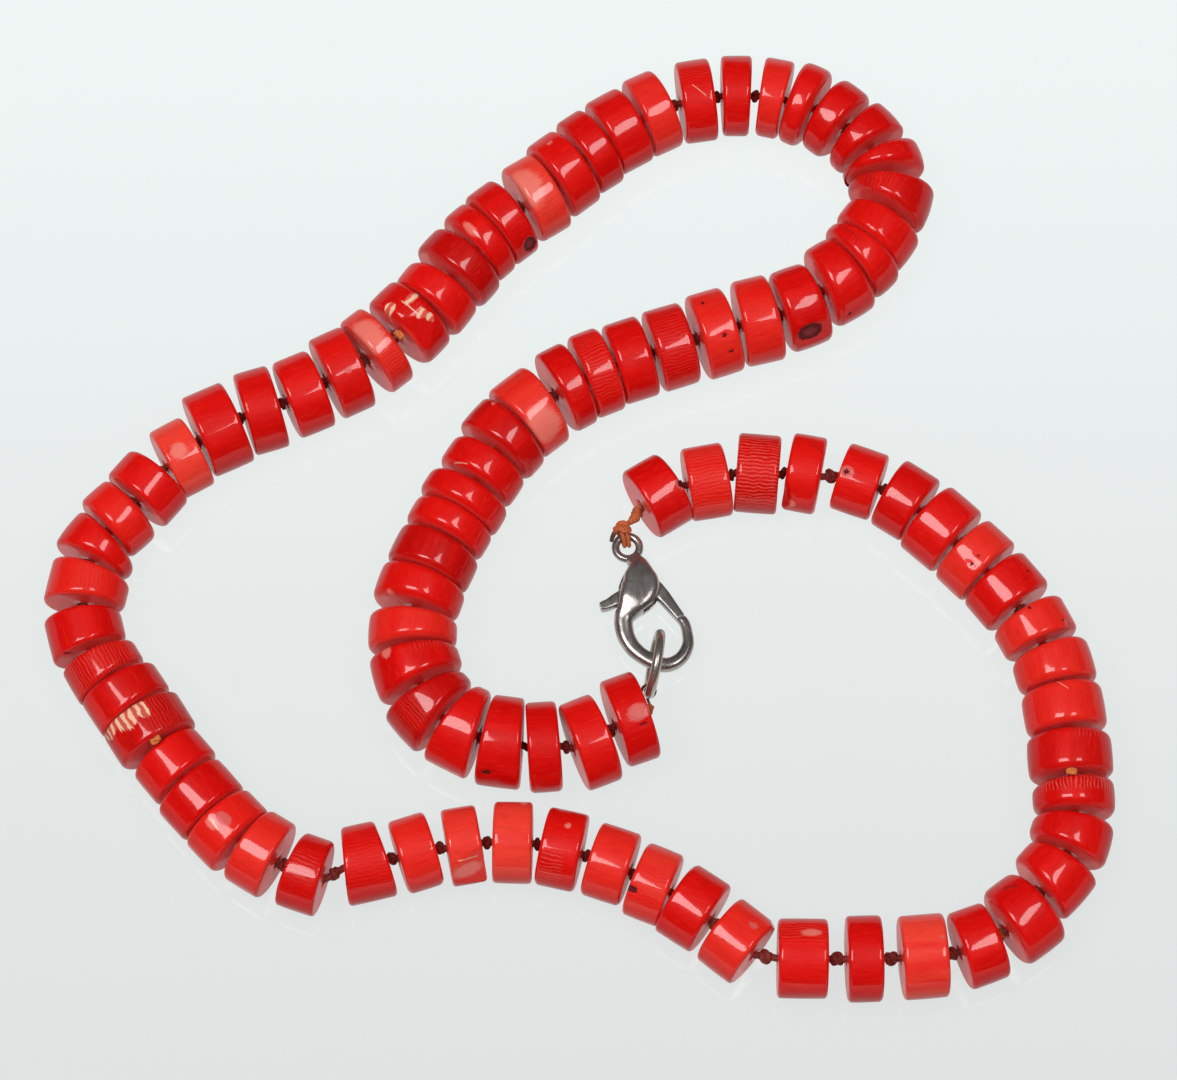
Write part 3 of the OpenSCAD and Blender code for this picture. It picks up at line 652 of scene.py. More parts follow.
def coralMaterial():
    material, tree, shader = newMaterial("polished coral")
    grain = readAttribute(tree, "grain", "Vector")
    streak = noise(tree, grain, coral["streakScale"], 3.0, 0.6)
    cloud = noise(tree, grain, coral["cloudScale"], 3.0)
    speck = noise(tree, grain, coral["speckScale"])
    color = readAttribute(tree, "beadColor", "Color")
    share = times(tree, step(tree, streak, 0.5, 0.72), coral["darkStreaks"])
    color = blendColor(tree, share, color, coral["grain"])
    share = times(tree, step(tree, cloud, 0.48, 0.72), coral["clouds"])
    color = blendColor(tree, share, color, coral["warm"])
    share = times(tree, step(tree, streak, 0.46, 0.3), coral["lightStreaks"])
    color = blendColor(tree, share, color, coral["light"])

    # growth ribs run along the thread, one beside the other round the bead, bent by noise; their ridges get
    # a painted highlight in the pale colour, broken up by the streaks, and their grooves painted shade in
    # the grain colour
    ribPlace = readAttribute(tree, "ribPlace", "Vector")
    ribShare = readAttribute(tree, "ribs", "Fac")
    bend = noise(tree, ribPlace, coral["bendScale"])
    wayRound = addNode(tree, "SeparateXYZ", i0=ribPlace).outputs[0]

    def ribWave(pitch, bending):
        phase = plus(tree, times(tree, wayRound, pitch), times(tree, bend, bending))
        return maths(tree, "SINE", phase)

    rib = times(tree, plus(tree, ribWave(coral["ribPitch"], coral["ribBend"]), 1.0), 0.5)
    broken = times(tree, ribShare, step(tree, streak, 0.3, 0.6))
    share = times(tree, times(tree, step(tree, rib, 0.6, 1.0), broken), coral["ribHighlightAndShade"])
    color = blendColor(tree, share, color, coral["pale"])
    # painted shade: the grain colour in the rib grooves
    share = times(tree, times(tree, step(tree, rib, 0.4, 0.0), ribShare), coral["ribHighlightAndShade"])
    color = blendColor(tree, share, color, coral["grain"])

    faceShare = readAttribute(tree, "face", "Fac")
    # the end faces: a paler pink, partly the coral's own ground tone and partly a painted reflection of the
    # pale floor
    paleFaceAndReflection = blendColor(tree, step(tree, speck, 0.4, 0.75), coral["face"], coral["warm"])
    color = blendColor(tree, times(tree, faceShare, coral["faceToneAndReflection"]), color, paleFaceAndReflection)

    # marks, with ragged rims; cream scars show their own coarser ribs
    wander = times(tree, maths(tree, "SUBTRACT", streak, 0.5), coral["ragged"])
    ragged = times(tree, maths(tree, "SUBTRACT", speck, 0.5), coral["ragged"])
    creamWave = step(tree, ribWave(coral["creamPitch"], coral["creamBend"]), -0.5, 0.5)
    creamRib = plus(tree, times(tree, creamWave, coral["creamRibs"]), coral["creamBetween"])
    masks = {"streak": streak, "speck": speck}
    for name, (kind, start, full, strength, tint) in markMasks.items():
        field = plus(tree, plus(tree, readAttribute(tree, kind, "Fac"), wander), ragged)
        masks[name] = times(tree, step(tree, field, start, full), strength)
        share = times(tree, masks[name], creamRib) if name == "cream" else masks[name]
        color = blendColor(tree, share, color, coral[tint])

    # pale scratches and dark cracks
    line = addNode(tree, "SeparateXYZ", i0=readAttribute(tree, "scratch", "Vector")).outputs
    across = maths(tree, "ABSOLUTE", plus(tree, line[0], times(tree, ragged, coral["lineRagged"])))
    along = maths(tree, "ABSOLUTE", line[1])
    onLine = times(tree, step(tree, across, 1.0, 0.4), step(tree, along, 1.0, 0.8))
    masks["darkLine"] = times(tree, onLine, times(tree, line[2], -1.0), clamp=True)
    color = blendColor(tree, times(tree, onLine, line[2], clamp=True), color, coral["cream"])
    color = blendColor(tree, masks["darkLine"], color, coral["pit"])
    tree.links.new(color, shader.inputs["Base Color"])

    worn = times(tree, faceShare, coral["faceWear"])
    for name, amount in coral["wear"].items():
        worn = plus(tree, worn, times(tree, masks[name], amount))
    tree.links.new(plus(tree, worn, coral["roughness"], clamp=True), shader.inputs["Roughness"])
    height = times(tree, times(tree, rib, ribShare), coral["ribHeight"])
    for name, amount in coral["height"].items():
        height = plus(tree, height, times(tree, masks[name], amount))
    bump = addNode(tree, "Bump", Height=height, Distance=mm, Strength=coral["bump"])
    tree.links.new(bump.outputs[0], shader.inputs["Normal"])

    # the polish is missing in the marks; it carries the lamps well but shows little of the ground at a
    # low angle
    dull = masks["hole"]
    for name in ("eye", "cream", "halo"):
        dull = maths(tree, "MAXIMUM", dull, masks[name])
    gloss = times(tree, maths(tree, "SUBTRACT", 1.0, dull), coral["gloss"], clamp=True)
    facing = addNode(tree, "LayerWeight", Blend=0.5).outputs["Facing"]
    held = maths(tree, "SUBTRACT", coral["lowHeld"], times(tree, faceShare, coral["lowHeldOnFace"]))
    low = times(tree, step(tree, facing, 0.12, 0.42), held)
    gloss = times(tree, gloss, maths(tree, "SUBTRACT", 1.0, low))
    tree.links.new(gloss, shader.inputs["Coat Weight"])
    shader.inputs["Coat Roughness"].default_value = coral["coatRoughness"]
    shader.inputs["Specular IOR Level"].default_value = coral["specular"]
    shader.inputs["IOR"].default_value = coral["ior"]
    shader.inputs["Subsurface Weight"].default_value = coral["subsurface"]
    shader.inputs["Subsurface Radius"].default_value = [reach * mm for reach in coral["subsurfaceReach"]]
    shader.inputs["Subsurface Scale"].default_value = 1.0
    return material


makeBeads(coralMaterial())
print("beads made")


# Thread and cords

threadLook = {
    "twist": {"radius": 0.425, "sides": 12, "plies": 3, "pitch": 2.4, "lobes": 0.16}, "step": 0.28,
    "knotRadius": 0.31, "knotHeight": 1.75, "knotLength": 1.5, "knotSteps": 64, "knotSides": 8,
    "faceGap": 0.3, "leastRoom": 0.3,
    "raised": {"length": 1.3, "height": 0.9, "wire": 0.17, "steps": 48, "sides": 8}, "raisedAt": 0.96,
    "tie": {"radius": 0.2, "sides": 8, "plies": 2, "pitch": 0.9, "lobes": 0.1}, "tieStep": 0.4,
    "color": (0.15, 0.007, 0.004), "light": (0.34, 0.03, 0.013), "orange": (0.55, 0.13, 0.02),
    # how strongly painted shade darkens the creases between plies
    "creaseShade": 0.8,
}
knotTwist = {"plies": 2, "pitch": 0.9, "lobes": 0.12}  # the strand that a knot is tied from
# how orange the knot after each of these beads is
orangeKnots = {49: 0.6, 57: 0.9, 70: 0.35, 75: 0.5, 79: 1.0, 39: 0.2}
# knots squeezed out on top between two touching beads: bead before it, grid x and y where it shows
raisedKnots = [(57, -47.9, -23.5), (79, 53.3, -27.1), (43, -21.6, 25.0)]


def carriedFrames(path):
    # a side direction carried from station to station, so that it doesn't spin where the path turns
    ahead = np.gradient(path, axis=0)
    ahead /= np.linalg.norm(ahead, axis=1)[:, None]
    side = np.empty_like(path)
    held = np.cross(ahead[0], [0, 0, 1.0])
    held = held if np.linalg.norm(held) > 0.1 else np.array([1.0, 0, 0])
    for i, way in enumerate(ahead):
        held = held - way * (held @ way)
        held = held / np.linalg.norm(held)
        side[i] = held
    return ahead, side, np.cross(side, ahead)


def smoothPath(points, spacing):
    # curve through given points, sampled evenly: cubic pieces whose slopes come from the neighbours
    points = np.array(points, float)
    before = np.vstack([2 * points[0] - points[1], points[:-1]])[:-1]
    after = np.vstack([points[1:], 2 * points[-1] - points[-2]])[1:]
    t = np.linspace(0, 1, 24, endpoint=False)[None, :, None]
    a, b, c, d = (value[:, None] for value in (before, points[:-1], points[1:], after))
    fine = (2 * b + (c - a) * t + (2 * a - 5 * b + 4 * c - d) * t ** 2
            + (3 * b - a - 3 * c + d) * t ** 3) / 2
    fine = np.vstack([fine.reshape(-1, points.shape[1]), points[-1:]])
    return evenPath(fine, spacing)


def evenPath(fine, spacing):
    run = np.concatenate([[0], np.cumsum(np.linalg.norm(np.diff(fine[:, :3], axis=0), axis=1))])
    along = np.linspace(0, run[-1], max(3, int(run[-1] / spacing) + 1))
    return np.stack([np.interp(along, run, fine[:, k]) for k in range(fine.shape[1])], 1)


def twistedTube(path, radius, sides, plies, pitch, lobes):
    # round section whose edge bulges once for each ply and turns with the distance along the path.
    # Returns points, quads, end caps, how far each point is from a crease, and its place on the skin
    _, side, up = carriedFrames(path)
    run = np.concatenate([[0], np.cumsum(np.linalg.norm(np.diff(path, axis=0), axis=1))])
    angle = np.linspace(0, 2 * math.pi, sides, endpoint=False)[None, :]
    ply = np.abs(np.cos((angle - 2 * math.pi * run[:, None] / pitch) * plies / 2))
    reach = np.broadcast_to(radius, (len(path),))[:, None] * (1 - lobes * (1 - ply))
    points = (path[:, None] + reach[..., None] * (np.cos(angle)[..., None] * side[:, None]
                                                  + np.sin(angle)[..., None] * up[:, None]))
    place = np.stack([np.broadcast_to(run[:, None], ply.shape), np.broadcast_to(angle, ply.shape), ply], -1)
    quads = gridQuads(len(path), sides, False, True)
    caps = [list(range(sides)), list(range(len(path) * sides - 1, (len(path) - 1) * sides - 1, -1))]
    return points.reshape(-1, 3), quads[:, ::-1], caps, ply.ravel(), place.reshape(-1, 3)


def joinTubes(name, tubes):
    # tubes as one mesh; each tube carries its own tint, a value at every point
    points, quads, caps, creases, places, tints, start = [], [], [], [], [], [], 0
    for (part, faces, ends, crease, place), tint in tubes:
        points.append(part)
        quads.append(faces + start)
        caps += [[start + corner for corner in end] for end in ends]
        creases.append(crease)
        places.append(place + [0, 0, len(places) * 3.7])  # each tube has its own part of the noise
        tints.append(np.broadcast_to(tint, crease.shape))
        start += len(part)
    made = smoothObject(name, np.vstack(points), np.vstack(quads), caps)
    setAttribute(made, "crease", "FLOAT", np.concatenate(creases))
    setAttribute(made, "lay", "FLOAT_VECTOR", np.vstack(places))
    setAttribute(made, "tint", "FLOAT", np.concatenate(tints))
    return made


def overhandKnot(middle, ahead, length, height, wire, steps, sides, spin):
    # a trefoil wound about the thread: it goes round twice while it weaves in and out three times,
    # squeezed to the length and height of the knot
    t = np.linspace(0, 2 * math.pi, steps + 1)
    ahead = ahead / np.linalg.norm(ahead)
    side = np.cross([0, 0, 1.0], ahead)
    side /= np.linalg.norm(side)
    up = np.cross(ahead, side)
    ring = (2 + np.cos(3 * t)) / 3
    lift, across, along = ring * np.sin(2 * t + spin), ring * np.cos(2 * t + spin), np.sin(3 * t)
    path = (middle + (along * (length / 2 - wire))[:, None] * ahead
            + (across * (height / 2 - wire))[:, None] * side + (lift * (height / 2 - wire))[:, None] * up)
    return twistedTube(path, wire, sides, **knotTwist)


def knotRooms():
    # the gap after each bead: its middle, its direction and its room for a knot, from faces that may lean,
    # taken 1.7 mm off the thread on the side where they close in
    ahead, _ = beadDirections(beads["heading"])
    out = beads["place"] + ahead * beads["half"][:, None]
    back = beads["place"] - ahead * beads["half"][:, None]
    lean = np.arctan(beads["slope"])
    first, second = beads["heading"][:-1] + lean[:-1], beads["heading"][1:] - lean[1:]
    turn = (second - first + math.pi) % (2 * math.pi) - math.pi
    way, _ = beadDirections(first + turn / 2)
    gap = back[1:] - out[:-1]
    slip = np.linalg.norm(np.cross(way, gap), axis=1)
    room = (gap * way).sum(1) - threadLook["faceGap"] - (1.7 + slip) * np.abs(np.tan(turn / 2))
    return (out[:-1] + back[1:]) / 2, way, room


def threadPath():
    # straight through every bore and on across each gap, a little rounded where it turns
    ahead, _ = beadDirections(beads["heading"])
    stops = []
    for share in (-1, -0.3, 0.3, 1):
        stops.append(beads["place"] + ahead * (beads["half"] * share)[:, None])
    return evenPath(np.stack(stops, 1).reshape(-1, 3), threadLook["step"])


def makeThread(material):
    look = threadLook
    tubes = [(twistedTube(threadPath(), **look["twist"]), 0.0)]
    middle, way, room = knotRooms()
    for i in np.flatnonzero(room > look["leastRoom"]):
        length = min(room[i] + 0.1, look["knotLength"])
        wire = min(look["knotRadius"], length / 3.2)
        height = look["knotHeight"] * (0.85 + 0.15 * length / look["knotLength"])
        knot = overhandKnot(middle[i], way[i], length, height, wire, look["knotSteps"],
                            look["knotSides"], spin=i * 1.3)
        tubes.append((knot, orangeKnots.get(i + 1, 0.0)))
    for bead, x, y in raisedKnots:
        i = bead - 1
        along, angle = castOnBead(i, x, y)
        ahead, left = beadDirections(beads["heading"][i:i + 1])
        outward = math.sin(angle) * left[0] + math.cos(angle) * np.array([0, 0, 1.0])
        spot = beads["place"][i] + along * ahead[0] + beads["radius"][i] * look["raisedAt"] * outward
        tubes.append((overhandKnot(spot, np.cross(outward, ahead[0]), **look["raised"], spin=i), 1.0))
        tie = evenPath(np.array([middle[i], spot]), look["tieStep"])
        tubes.append((twistedTube(tie, **look["tie"]), 1.0))
    made = joinTubes("knotted_thread", tubes)
    wear(made, material, "necklace", "thread", "thread")


# what thread and cords have in common
cordLook = {
    # the crease colour is painted shade where the plies meet
    "fibreScale": 6.0, "fibreHeight": 0.3, "dullness": 0.45, "creaseShadeColor": (0.016, 0.003, 0.002),
    "relief": 0.05, "bump": 0.7, "sheen": 0.15,
}


def fibreGroup():
    # fine fibres along the ply, and painted shade that darkens the creases between plies
    tree, given, out = newGroup("fibres", [("Color", "Color", None), ("Light", "Color", None),
                                           ("Crease shade", "Float", 0.8)],
                                [("Color", "Color"), ("Height", "Float"), ("Dullness", "Float")])
    crease = readAttribute(tree, "crease", "Fac")
    place = stretch(tree, readAttribute(tree, "lay", "Vector"), (1.2, 1.0, 5.0))
    fibre = noise(tree, place, cordLook["fibreScale"], 3.0)
    color = blendColor(tree, step(tree, fibre, 0.4, 0.7), given["Color"], given["Light"])
    # painted shade: the colour darkens towards the crease colour where the plies meet
    dark = times(tree, step(tree, crease, 0.45, 0.0), given["Crease shade"])
    tree.links.new(blendColor(tree, dark, color, cordLook["creaseShadeColor"]), out["Color"])
    relief = times(tree, fibre, cordLook["fibreHeight"])
    tree.links.new(plus(tree, relief, crease), out["Height"])
    tree.links.new(plus(tree, relief, cordLook["dullness"]), out["Dullness"])
    return tree


def cordMaterial(name, group, look, tinted):
    material, tree, shader = newMaterial(name)
    tint = readAttribute(tree, "tint", "Fac")
    base = blendColor(tree, tint, look["color"], tinted)
    bright = blendColor(tree, tint, look["light"], [min(1.0, value * 1.5) for value in tinted])
    made = useGroup(tree, group, **{"Color": base, "Light": bright, "Crease shade": look["creaseShade"]})
    tree.links.new(made["Color"], shader.inputs["Base Color"])
    tree.links.new(made["Dullness"], shader.inputs["Roughness"])
    bump = addNode(tree, "Bump", Height=made["Height"], Distance=cordLook["relief"] * mm,
                   Strength=cordLook["bump"])
    tree.links.new(bump.outputs[0], shader.inputs["Normal"])
    shader.inputs["Sheen Weight"].default_value = cordLook["sheen"]
    return material


fibres = fibreGroup()
makeThread(cordMaterial("knotted silk", fibres, threadLook, threadLook["orange"]))
print("thread made")

# Waxed cord that ties the clasp: points on the grid with their height, as the solids have them
claspCord = {
    # the dark colour serves the tail's real burnt end and the painted shade on the ring cord's turn
    "color": (0.40, 0.055, 0.008), "light": (0.70, 0.18, 0.03), "burntAndShade": (0.05, 0.016, 0.010),
    # how strongly painted shade darkens the creases between plies
    "creaseShade": 0.92,
    "start": (5.5, 3.75, 4.2),
    "lead": [(5.38, 3.1, 3.85), (4.8, 2.6, 3.6), (4.3, 2.3, 3.5), (3.9, 2.0, 3.45)],
    "core": {"radius": 0.34, "sides": 12, "plies": 3, "pitch": 1.1, "lobes": 0.15},
    "wraps": 4.5, "wrapRadius": 0.45, "wrapWire": 0.3,
    "knotAt": (3.95, 1.85, 3.45), "knotWay": (-0.75, -0.6, 0),
    "knot": {"length": 1.5, "height": 2.0, "wire": 0.34, "steps": 96, "sides": 12, "spin": 0.4},
    "turn": [(3.95, 1.7, 3.5), (4.02, 1.25, 3.5), (4.22, 0.7, 3.22), (4.35, 0.13, 2.35),
             (4.22, 0.7, 1.42), (4.05, 1.5, 1.27), (3.5, 2.1, 1.6), (3.2, 2.2, 2.4), (3.5, 2.1, 3.1)],
    "strand": 0.24, "apart": 0.25,
    "tail": [(3.6, 1.9, 3.3), (3.1, 1.5, 3.5), (2.75, 0.9, 3.45), (2.55, 0.25, 3.3)],
    "tailTwist": {"sides": 14, "plies": 3, "pitch": 0.9, "lobes": 0.12}, "burnFrom": 0.25, "burnOver": 0.35,
}
strandTwist = {"sides": 12, "plies": 3, "pitch": 0.8, "lobes": 0.14}  # both cords' thin strands

# the jump ring: plan place of its middle on the grid, height of its lowest point, and how it stands
jumpRing = {
    "middle": (7.35, -14.45), "lift": 0.05, "radius": 3.4, "wire": 1.1, "heading": 81, "lean": 6.5,
    "sides": (160, 32), "color": (0.5, 0.46, 0.40), "tarnish": 0.35,
}
# the strand's turn round the ring gets painted shade in the dark colour below a height
ringCord = {
    "lead": [(6.78, -20.12, 4.85), (6.8, -19.65, 4.5), (6.85, -19.2, 3.7), (6.78, -18.75, 2.7)],
    "strand": 0.17, "wraps": 2.6, "wrapRadius": 0.33,
    "wrap": {"radius": 0.23, "sides": 10, "plies": 3, "pitch": 0.8, "lobes": 0.14},
    "angle": 222, "off": 0.76, "arc": 280, "turnShade": 0.85, "shadeBelow": 2.6, "shadeOver": 0.6,
}


def coilPath(path, wraps, radius):
    # helix about a path, with one turn for each wrap, slimmer at both ends
    fine = smoothPath(path, 0.03)
    _, side, up = carriedFrames(fine)
    turn = np.linspace(0, 2 * math.pi * wraps, len(fine))[:, None]
    swell = radius * (0.82 + 0.18 * np.sin(np.linspace(0, math.pi, len(fine))))[:, None]
    return fine + swell * (np.cos(turn) * side + np.sin(turn) * up)


def beside(path, apart):
    # the same path moved to one side, level with the ground; where the path runs straight up or down, the
    # side is a fixed one, and the tiny shift keeps its length from being zero
    path = np.array(path, float)
    way = np.gradient(path, axis=0)
    level = np.stack([-way[:, 1], way[:, 0], np.zeros(len(path))], 1)
    level = level + np.array([1e-6, 0, 0])
    weight = np.minimum(1, np.hypot(level[:, 0], level[:, 1]) / 0.3)[:, None]
    level = level / np.linalg.norm(level, axis=1)[:, None]
    fixed = np.array([1.0, 0.1, 0])
    return path + apart * (weight * np.sign(level @ fixed)[:, None] * level + (1 - weight) * fixed)


def makeClaspCord(material):
    look = claspCord
    ahead, _ = beadDirections(beads["heading"][-1:])
    exit = beads["place"][-1] + ahead[0] * (beads["half"][-1] + 0.1)
    lead = np.vstack([[exit], np.array([look["start"], *look["lead"]]) + gridZero])
    coil = coilPath(lead[1:4], look["wraps"], look["wrapRadius"])
    tubes = [(twistedTube(smoothPath(lead, 0.12), **look["core"]), 0.0),
             (twistedTube(coil[::3], look["wrapWire"], **strandTwist), 0.0)]
    knot = overhandKnot(np.array(look["knotAt"]) + gridZero, np.array(look["knotWay"]), **look["knot"])
    tubes.append((knot, 0.0))
    for apart in (-look["apart"], look["apart"]):
        turn = smoothPath(beside(np.array(look["turn"]) + gridZero, apart), 0.08)
        tubes.append((twistedTube(turn, look["strand"], **strandTwist), 0.0))
    tail = smoothPath(np.array(look["tail"]) + gridZero, 0.06)
    share = np.linspace(0, 1, len(tail))
    burn = np.clip((share - look["burnFrom"]) / look["burnOver"], 0, 1)
    tail = twistedTube(tail, look["strand"] * (1.25 - 0.35 * share ** 3), **look["tailTwist"])
    tubes.append((tail, np.repeat(burn, look["tailTwist"]["sides"])))
    made = joinTubes("clasp_cord_tie", tubes)
    wear(made, material, "necklace", "waxed_cord", "clasp_cord")


def ringFrame():
    # two directions in the plane of the jump ring: the level one and the one across it, upwards
    heading, lean = math.radians(jumpRing["heading"]), math.radians(jumpRing["lean"])
    ahead = np.array([math.cos(heading), math.sin(heading), 0])
    up = np.array([math.sin(lean) * math.sin(heading), -math.sin(lean) * math.cos(heading), math.cos(lean)])
    return ahead, up


def roundRing(off, turn, angle):
    # points off the middle of the ring's wire, at turns about the wire and at one angle round the ring
    ahead, up = ringFrame()
    height = jumpRing["radius"] * up[2] + jumpRing["wire"] / 2 + jumpRing["lift"]
    middle = np.array([*jumpRing["middle"], height]) + gridZero
    angle = math.radians(angle)
    out = math.cos(angle) * ahead + math.sin(angle) * up
    side = np.cross(ahead, up)
    turn = turn[..., None]
    return middle + (jumpRing["radius"] + off * np.cos(turn)) * out + off * np.sin(turn) * side


def makeRingCord(material):
    look = ringCord
    ahead, _ = beadDirections(beads["heading"][:1])
    exit = beads["place"][0] - ahead[0] * (beads["half"][0] + 0.1)
    lead = np.vstack([[exit], np.array(look["lead"]) + gridZero])
    turns = roundRing(look["off"], np.radians(np.linspace(0, look["arc"], 15)), look["angle"])
    whole = smoothPath(np.vstack([lead, turns]), 0.08)
    wraps = coilPath(lead[:3], look["wraps"], look["wrapRadius"])
    # painted shade: below a height the strand's turn round the ring darkens towards the dark colour, where
    # the ring shades it
    low = np.clip((look["shadeBelow"] - whole[:, 2]) / look["shadeOver"], 0, 1) * look["turnShade"]
    strand = twistedTube(whole, look["strand"], **strandTwist)
    tubes = [(strand, np.repeat(low, strandTwist["sides"])), (twistedTube(wraps[::3], **look["wrap"]), 0.0)]
    made = joinTubes("ring_cord_tie", tubes)
    wear(made, material, "necklace", "waxed_cord", "ring_cord")


waxed = cordMaterial("waxed orange cord", fibres, claspCord, claspCord["burntAndShade"])
makeClaspCord(waxed)
makeRingCord(waxed)
print("cords made")


# Clasp

# plan outlines in millimetres from the clasp's own zero, at the middle of its end ring; the hook's rows are
# x, y, width and height, those of the lever's two arms x, y and width
clasp = {
    "at": (4.4, -0.1, 2.35), "eyeDiameter": 2.7, "eyeWire": 0.9, "eyeSides": (96, 32),
    "pin": (2.2, -4.25), "hub": 2.3, "pinBore": 1.06, "rivetHole": 0.98, "rivetFoot": -1.7,
    "rivetHead": 0.44, "slotHeight": 1.6, "leverHeight": 1.3, "rimFoot": -1.45, "rimGap": 0.05,
    "voxel": 0.066, "relax": (0.5, 5),
    "widths": (2.1, 3.3), "bodyRound": (0.8, 0.46), "leverRound": (0.42, 0.42),
    "bodyCorners": 48, "leverCorners": 40,
    "hook": [(0.5, -1.2, 1.5, 1.5), (1.15, -2.25, 2.5, 2.8), (1.35, -3.55, 3.7, 3.3),
             (1.47, -4.65, 4.3, 3.4), (1.2, -5.55, 4.3, 3.4), (0.6, -6.55, 3.6, 3.3), (0, -7.55, 2.75, 2.8),
             (-0.4, -8.4, 2.25, 2.3), (-0.45, -9.25, 2.1, 2.1), (-0.1, -10.8, 2, 1.9),
             (0.85, -12.25, 1.8, 1.8), (2.5, -13.45, 1.7, 1.7), (4.3, -13.95, 1.6, 1.7),
             (5.85, -13.25, 1.5, 1.7), (6.7, -11.7, 1.35, 1.6), (6.65, -10.1, 1.25, 1.5),
             (6.38, -9.1, 1.2, 1.45), (6.01, -8.55, 1.15, 1.4)],
    "slot": [(-3.4, -7.65), (-1.2, -7.55), (0, -6.65), (1.2, -6.35), (1.6, -7.65), (4.6, -8.55),
             (5.1, -4.05), (4.6, -3.25), (2.2, -2.85), (0.1, -2.45), (-3.4, -2.45)],
    "gate": [(2.2, -4.25, 1.9), (3.1, -4.9, 1.8), (4.1, -6, 1.55), (5, -7.2, 1.3), (5.93, -8.45, 1.1)],
    "thumb": [(2.2, -4.25, 1.9), (0.8, -5.15, 1.8), (-1.1, -6.2, 1.5), (-2.1, -6.8, 1.25),
              (-2.75, -7.05, 1.15), (-3.1, -7.15, 0.85)],
    "backRim": [(0.35, -1.9), (-0.25, -2.55), (-0.72, -3.5), (-1.0, -4.3), (-1.05, -5.1), (0.2, -5.3),
                (0.6, -2.2)],
    "color": (0.42, 0.385, 0.362), "tarnish": 0.7,
}


def barGrid(table, corners, roundness):
    # section between a box and an ellipse, carried along the rows of x, y, width and height: its corners
    # are the rounder the narrower the bar is, each coordinate being a power of the cosine or sine
    path = smoothPath(np.array(table, float), 0.12)
    way = np.gradient(path[:, :2], axis=0)
    way /= np.linalg.norm(way, axis=1)[:, None]
    side = np.stack([way[:, 1], -way[:, 0]], 1)
    turn = np.linspace(0, 2 * math.pi, corners, endpoint=False)[None, :]
    power = np.interp(path[:, 2], clasp["widths"], roundness)[:, None]
    across = np.sign(np.cos(turn)) * np.abs(np.cos(turn)) ** power * path[:, 2:3] / 2
    up = np.sign(np.sin(turn)) * np.abs(np.sin(turn)) ** power * path[:, 3:4] / 2
    points = np.stack([path[:, :1] + side[:, :1] * across, path[:, 1:2] + side[:, 1:] * across, up], -1)
    caps = [list(range(corners))[::-1], list(range((len(path) - 1) * corners, len(path) * corners))]
    return points.reshape(-1, 3), gridQuads(len(path), corners, False, True), caps


def ringGrid(middle, ringRadius, wireRadius, along, across, ahead, up):
    # circle of the wire carried round the circle of the ring, from two directions in the ring's plane
    u = np.linspace(0, 2 * math.pi, along, endpoint=False)[:, None]
    v = np.linspace(0, 2 * math.pi, across, endpoint=False)[None, :]
    ahead, up = np.array(ahead, float), np.array(up, float)
    out = np.cos(u)[..., None] * ahead + np.sin(u)[..., None] * up
    points = (np.array(middle) + (ringRadius + wireRadius * np.cos(v))[..., None] * out
              + (wireRadius * np.sin(v) + 0 * u)[..., None] * np.cross(ahead, up))
    return points.reshape(-1, 3), gridQuads(along, across, True, True)


def prism(outline, low, high):
    # straight block over an outline in plan
    outline = np.array(outline, float)
    count = len(outline)
    points = np.vstack([np.c_[outline, np.full(count, low)], np.c_[outline, np.full(count, high)]])
    sides = [[k, (k + 1) % count, (k + 1) % count + count, k + count] for k in range(count)]
    return points, np.array(sides), [list(range(count))[::-1], list(range(count, 2 * count))]


def disc(middle, diameter, low, high, corners=48):
    turn = np.linspace(0, 2 * math.pi, corners, endpoint=False)
    return prism(np.stack([np.cos(turn), np.sin(turn)], 1) * diameter / 2 + middle, low, high)


def solidObject(name, points, quads, caps=None):
    # a closed shell in the clasp's own place, with its faces turned outwards
    made = smoothObject(name, points + np.array(clasp["at"]) + gridZero, quads, caps)
    mesh = made.data
    work = bmesh.new()
    work.from_mesh(mesh)
    bmesh.ops.recalc_face_normals(work, faces=work.faces)
    work.to_mesh(mesh)
    work.free()
    return made


def bakeModifiers(made):
    graph = bpy.context.evaluated_depsgraph_get()
    done = bpy.data.meshes.new_from_object(made.evaluated_get(graph))
    made.modifiers.clear()
    made.data = done


def castMetal(name, shells, cuts):
    # shells melted into one skin, the cuts taken out, and the corners worn round as on a tumbled casting
    base = solidObject(name, *shells[0])
    for shell in shells[1:]:
        other = solidObject(name + "_part", *shell)
        union = base.modifiers.new("join", "BOOLEAN")
        union.operation, union.object, union.solver = "UNION", other, "EXACT"
        bakeModifiers(base)
        bpy.data.objects.remove(other)
    for cut in cuts:
        other = solidObject(name + "_cut", *cut)
        away = base.modifiers.new("cut", "BOOLEAN")
        away.operation, away.object, away.solver = "DIFFERENCE", other, "EXACT"
        bakeModifiers(base)
        bpy.data.objects.remove(other)
    remesh = base.modifiers.new("skin", "REMESH")
    remesh.mode, remesh.voxel_size = "VOXEL", clasp["voxel"] * mm
    remesh.use_smooth_shade = True
    relax = base.modifiers.new("wear", "SMOOTH")
    relax.factor, relax.iterations = clasp["relax"]
    bakeModifiers(base)
    base.data.polygons.foreach_set("use_smooth", np.ones(len(base.data.polygons), bool))
    return base


nickel = {
    "dark": (0.18, 0.16, 0.152), "metal": 0.85, "cloudScale": 420.0, "gritScale": 3200.0,
    "scuffScale": 2600.0, "pitTint": 0.6, "cloudRough": 0.22, "scuffRough": 0.18, "roughness": 0.06,
    "gritHeight": 0.3, "scuffHeight": 0.4, "relief": 0.01, "bump": 0.3,
}


